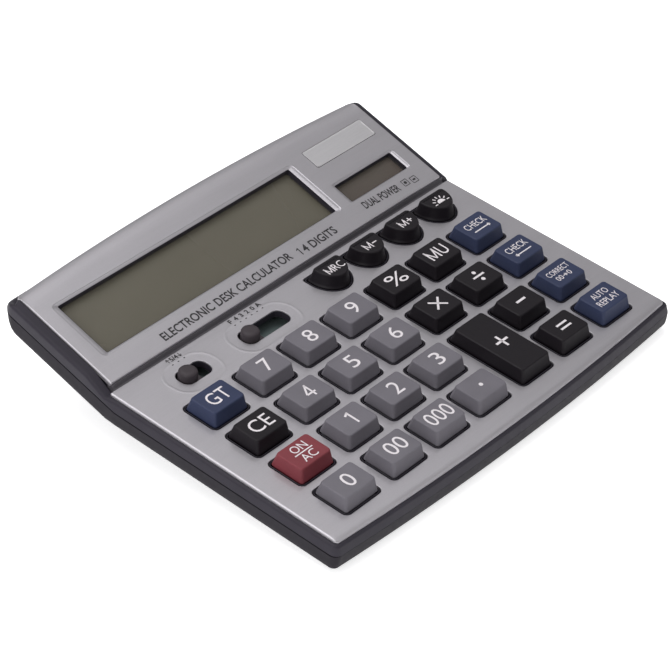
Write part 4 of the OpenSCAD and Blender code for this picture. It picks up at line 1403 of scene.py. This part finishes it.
def display_legends():
    shape = Shape()
    lcd, solar = window_middle("lcd_window"), window_middle("solar_window")
    shape.add(frame_text("ELECTRONIC DESK CALCULATOR", 3.1, lcd, (-33.5, -16.2), (24.1, -15.4)))
    shape.add(figure_one(3, 0.4), at(lcd.x + 27.6, lcd.y - 16.1, PRINT_LIFT))
    shape.add(frame_text("4 DIGITS", 3.1, lcd, (29.2, -16.1), (44.5, -15.9)))
    shape.add(frame_text("DUAL POWER", 3, solar, (-12.2, -7.5), (4.2, -8.4)))
    shape.add(power_icons(solar))
    print_on("display_print", shape, "case", BLACK_INK, DISPLAY)


# The marks behind the slots: their pitch, the rows of dots and signs, and the signs' height and weight
MARK_PITCH = 2.43
DOT_Y = 46.6
MARK_Y = 48.5
MARK_H = 1.9
MARK_WEIGHT = 0.035
ARROW_TURNS = {"↑": math.pi / 2, "↓": -math.pi / 2}
SWITCH_MARKS = {"rounding_switch": "↑ 5/4 ↓", "decimal_switch": "F 4 3 2 0 A"}


def switch_legends():
    """A mark and a dot for each position of the switches, behind their slots."""
    shape = Shape()
    for switch, marks in SWITCH_MARKS.items():
        left = min(x for x, _ in slot_opening(switch, 0))
        for i, sign in enumerate(marks.split()):
            x = left + KNOB_R + 0.9 + MARK_PITCH * i
            shape.disc(x, DOT_Y, 0.36, PRINT_LIFT, 12)
            if sign in ARROW_TURNS:
                shape.add(arrow(1.8, 0.26), at(x, MARK_Y, PRINT_LIFT, ARROW_TURNS[sign]))
            else:
                shape.add(text_shape(sign, MARK_H, None, MARK_WEIGHT), at(x, MARK_Y, PRINT_LIFT))
    print_on("switch_print", shape, "case", BLACK_INK, KEYPAD)


# ---- Inner pieces: the CAD nodes with their finishes ----

INNER = {
    "lcd_panel": (LCD, "lcd_glass"), "solar_cell": (SOLAR, "solar_glass"),
    "lcd_holder": (HOLDER, "holder_plastic"), "key_mat": (MAT, "mat_rubber"),
    "main_board": (BOARD_LIFTED, "board_laminate"), "controller_chip": (CHIP, "chip_epoxy"),
    "display_ribbon": (RIBBON, "ribbon_film"), "solar_leads": (WIRE_RED, "wire_red"),
    "battery_leads": (WIRE_BLACK, "wire_black"), "rounding_switch_contact": (BRASS, "contact_brass"),
    "decimal_switch_contact": (BRASS, "contact_brass"), "battery_cell": (JACKET, "cell_jacket"),
    "battery_spring": (STEEL, "contact_steel"), "battery_contact": (STEEL, "contact_steel"),
    "board_screws": (SCREW, "screw_steel"),
}


def dress_inner_pieces():
    for node, (stuff, slot) in INNER.items():
        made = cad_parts[node]
        made.data.materials.clear()
        made.data.materials.append(stuff)


# ---- Stage ----


# Soft lights, in metres and watts: name, place, aim, size and power
LIGHTS = [
    ("soft_left", (-0.5, -0.13, 0.26), (-0.05, 0, 0), (0.4, 0.3), 0.85),
    ("soft_top", (-0.15, 0.3, 1.3), (0, 0, 0), (1.1, 1.1), 10.8),
    ("soft_rear", (0.65, 0.39, 1.05), (0, 0, 0), (0.3, 0.3), 0.45),
    ("soft_right", (0.5, -0.65, 0.75), (0, 0, 0), (0.6, 0.6), 0.8),
    ("soft_corner", (-0.6, 0.58, 0.65), (0, 0, 0), (0.5, 0.5), 0.8),
]
WORLD_GLOW = 0.33
FLOOR_GLOW = 0.65
FLOOR_HALF = 3
# The floor lies just under the feet, so that no face of theirs lies in it
FLOOR_Z = -0.00002


def area_light(name, place, aim, size, power):
    data = bpy.data.lights.new(name, "AREA")
    data.shape = "RECTANGLE"
    data.size, data.size_y = size
    data.energy = power
    made = bpy.data.objects.new(name, data)
    made.location = place
    made.rotation_euler = (Vector(aim) - Vector(place)).to_track_quat("-Z", "Y").to_euler()
    bpy.context.scene.collection.objects.link(made)


def floor_material():
    """A pale sheet that glows a little, as over a light table, so that shadows stay soft."""
    stuff, _, shader = start_material("floor")
    shader.inputs["Base Color"].default_value = (0.9, 0.9, 0.91, 1)
    shader.inputs["Roughness"].default_value = 0.9
    shader.inputs["Emission Color"].default_value = (1, 1, 1, 1)
    shader.inputs["Emission Strength"].default_value = FLOOR_GLOW
    return stuff


def stage():
    """The floor, the pale world and the lights."""
    mesh = bpy.data.meshes.new("floor")
    signs = ((-1, -1), (1, -1), (1, 1), (-1, 1))
    mesh.from_pydata([(x * FLOOR_HALF, y * FLOOR_HALF, FLOOR_Z) for x, y in signs], [], [(0, 1, 2, 3)])
    mesh.materials.append(floor_material())
    floor = bpy.data.objects.new("floor", mesh)
    bpy.context.scene.collection.objects.link(floor)
    world = bpy.data.worlds.new("studio")
    world.use_nodes = True
    background = world.node_tree.nodes["Background"]
    background.inputs["Color"].default_value = (1, 1, 1, 1)
    background.inputs["Strength"].default_value = WORLD_GLOW
    bpy.context.scene.world = world
    for light in LIGHTS:
        area_light(*light)
    bpy.context.scene.view_settings.view_transform = "Standard"


# The camera: its place from the middle of the keys, its direction, and its lens, as fitted to the photo
CAMERA_FROM_KEYS = (-0.51253, -0.43585, 0.47710)
CAMERA_LOOK = (0.62328, 0.53544, -0.56994)
CAMERA_LENS = 145.18
CAMERA_SENSOR = 36


def camera():
    data = bpy.data.cameras.new("camera")
    data.lens = CAMERA_LENS
    data.sensor_width = CAMERA_SENSOR
    made = bpy.data.objects.new("camera", data)
    first, last = (span(node, KEYPAD) for node in ("key_0", "key_auto_replay"))
    keys_middle = (first[0].x + last[1].x) / 2 * MM
    made.location = Vector(CAMERA_FROM_KEYS) + Vector((keys_middle, 0, 0))
    made.rotation_euler = Vector(CAMERA_LOOK).to_track_quat("-Z", "Y").to_euler()
    bpy.context.scene.collection.objects.link(made)
    bpy.context.scene.camera = made


keypad_faceplate()
display_faceplate()
upper_case()
lower_case()
battery_door()
rubber_feet()
case_screws()
keys()
for switch in SLOTS:
    switch_knob(switch)
window("lcd_window")
window("solar_window")
badge()
key_legends()
display_legends()
switch_legends()
dress_inner_pieces()
stage()
camera()
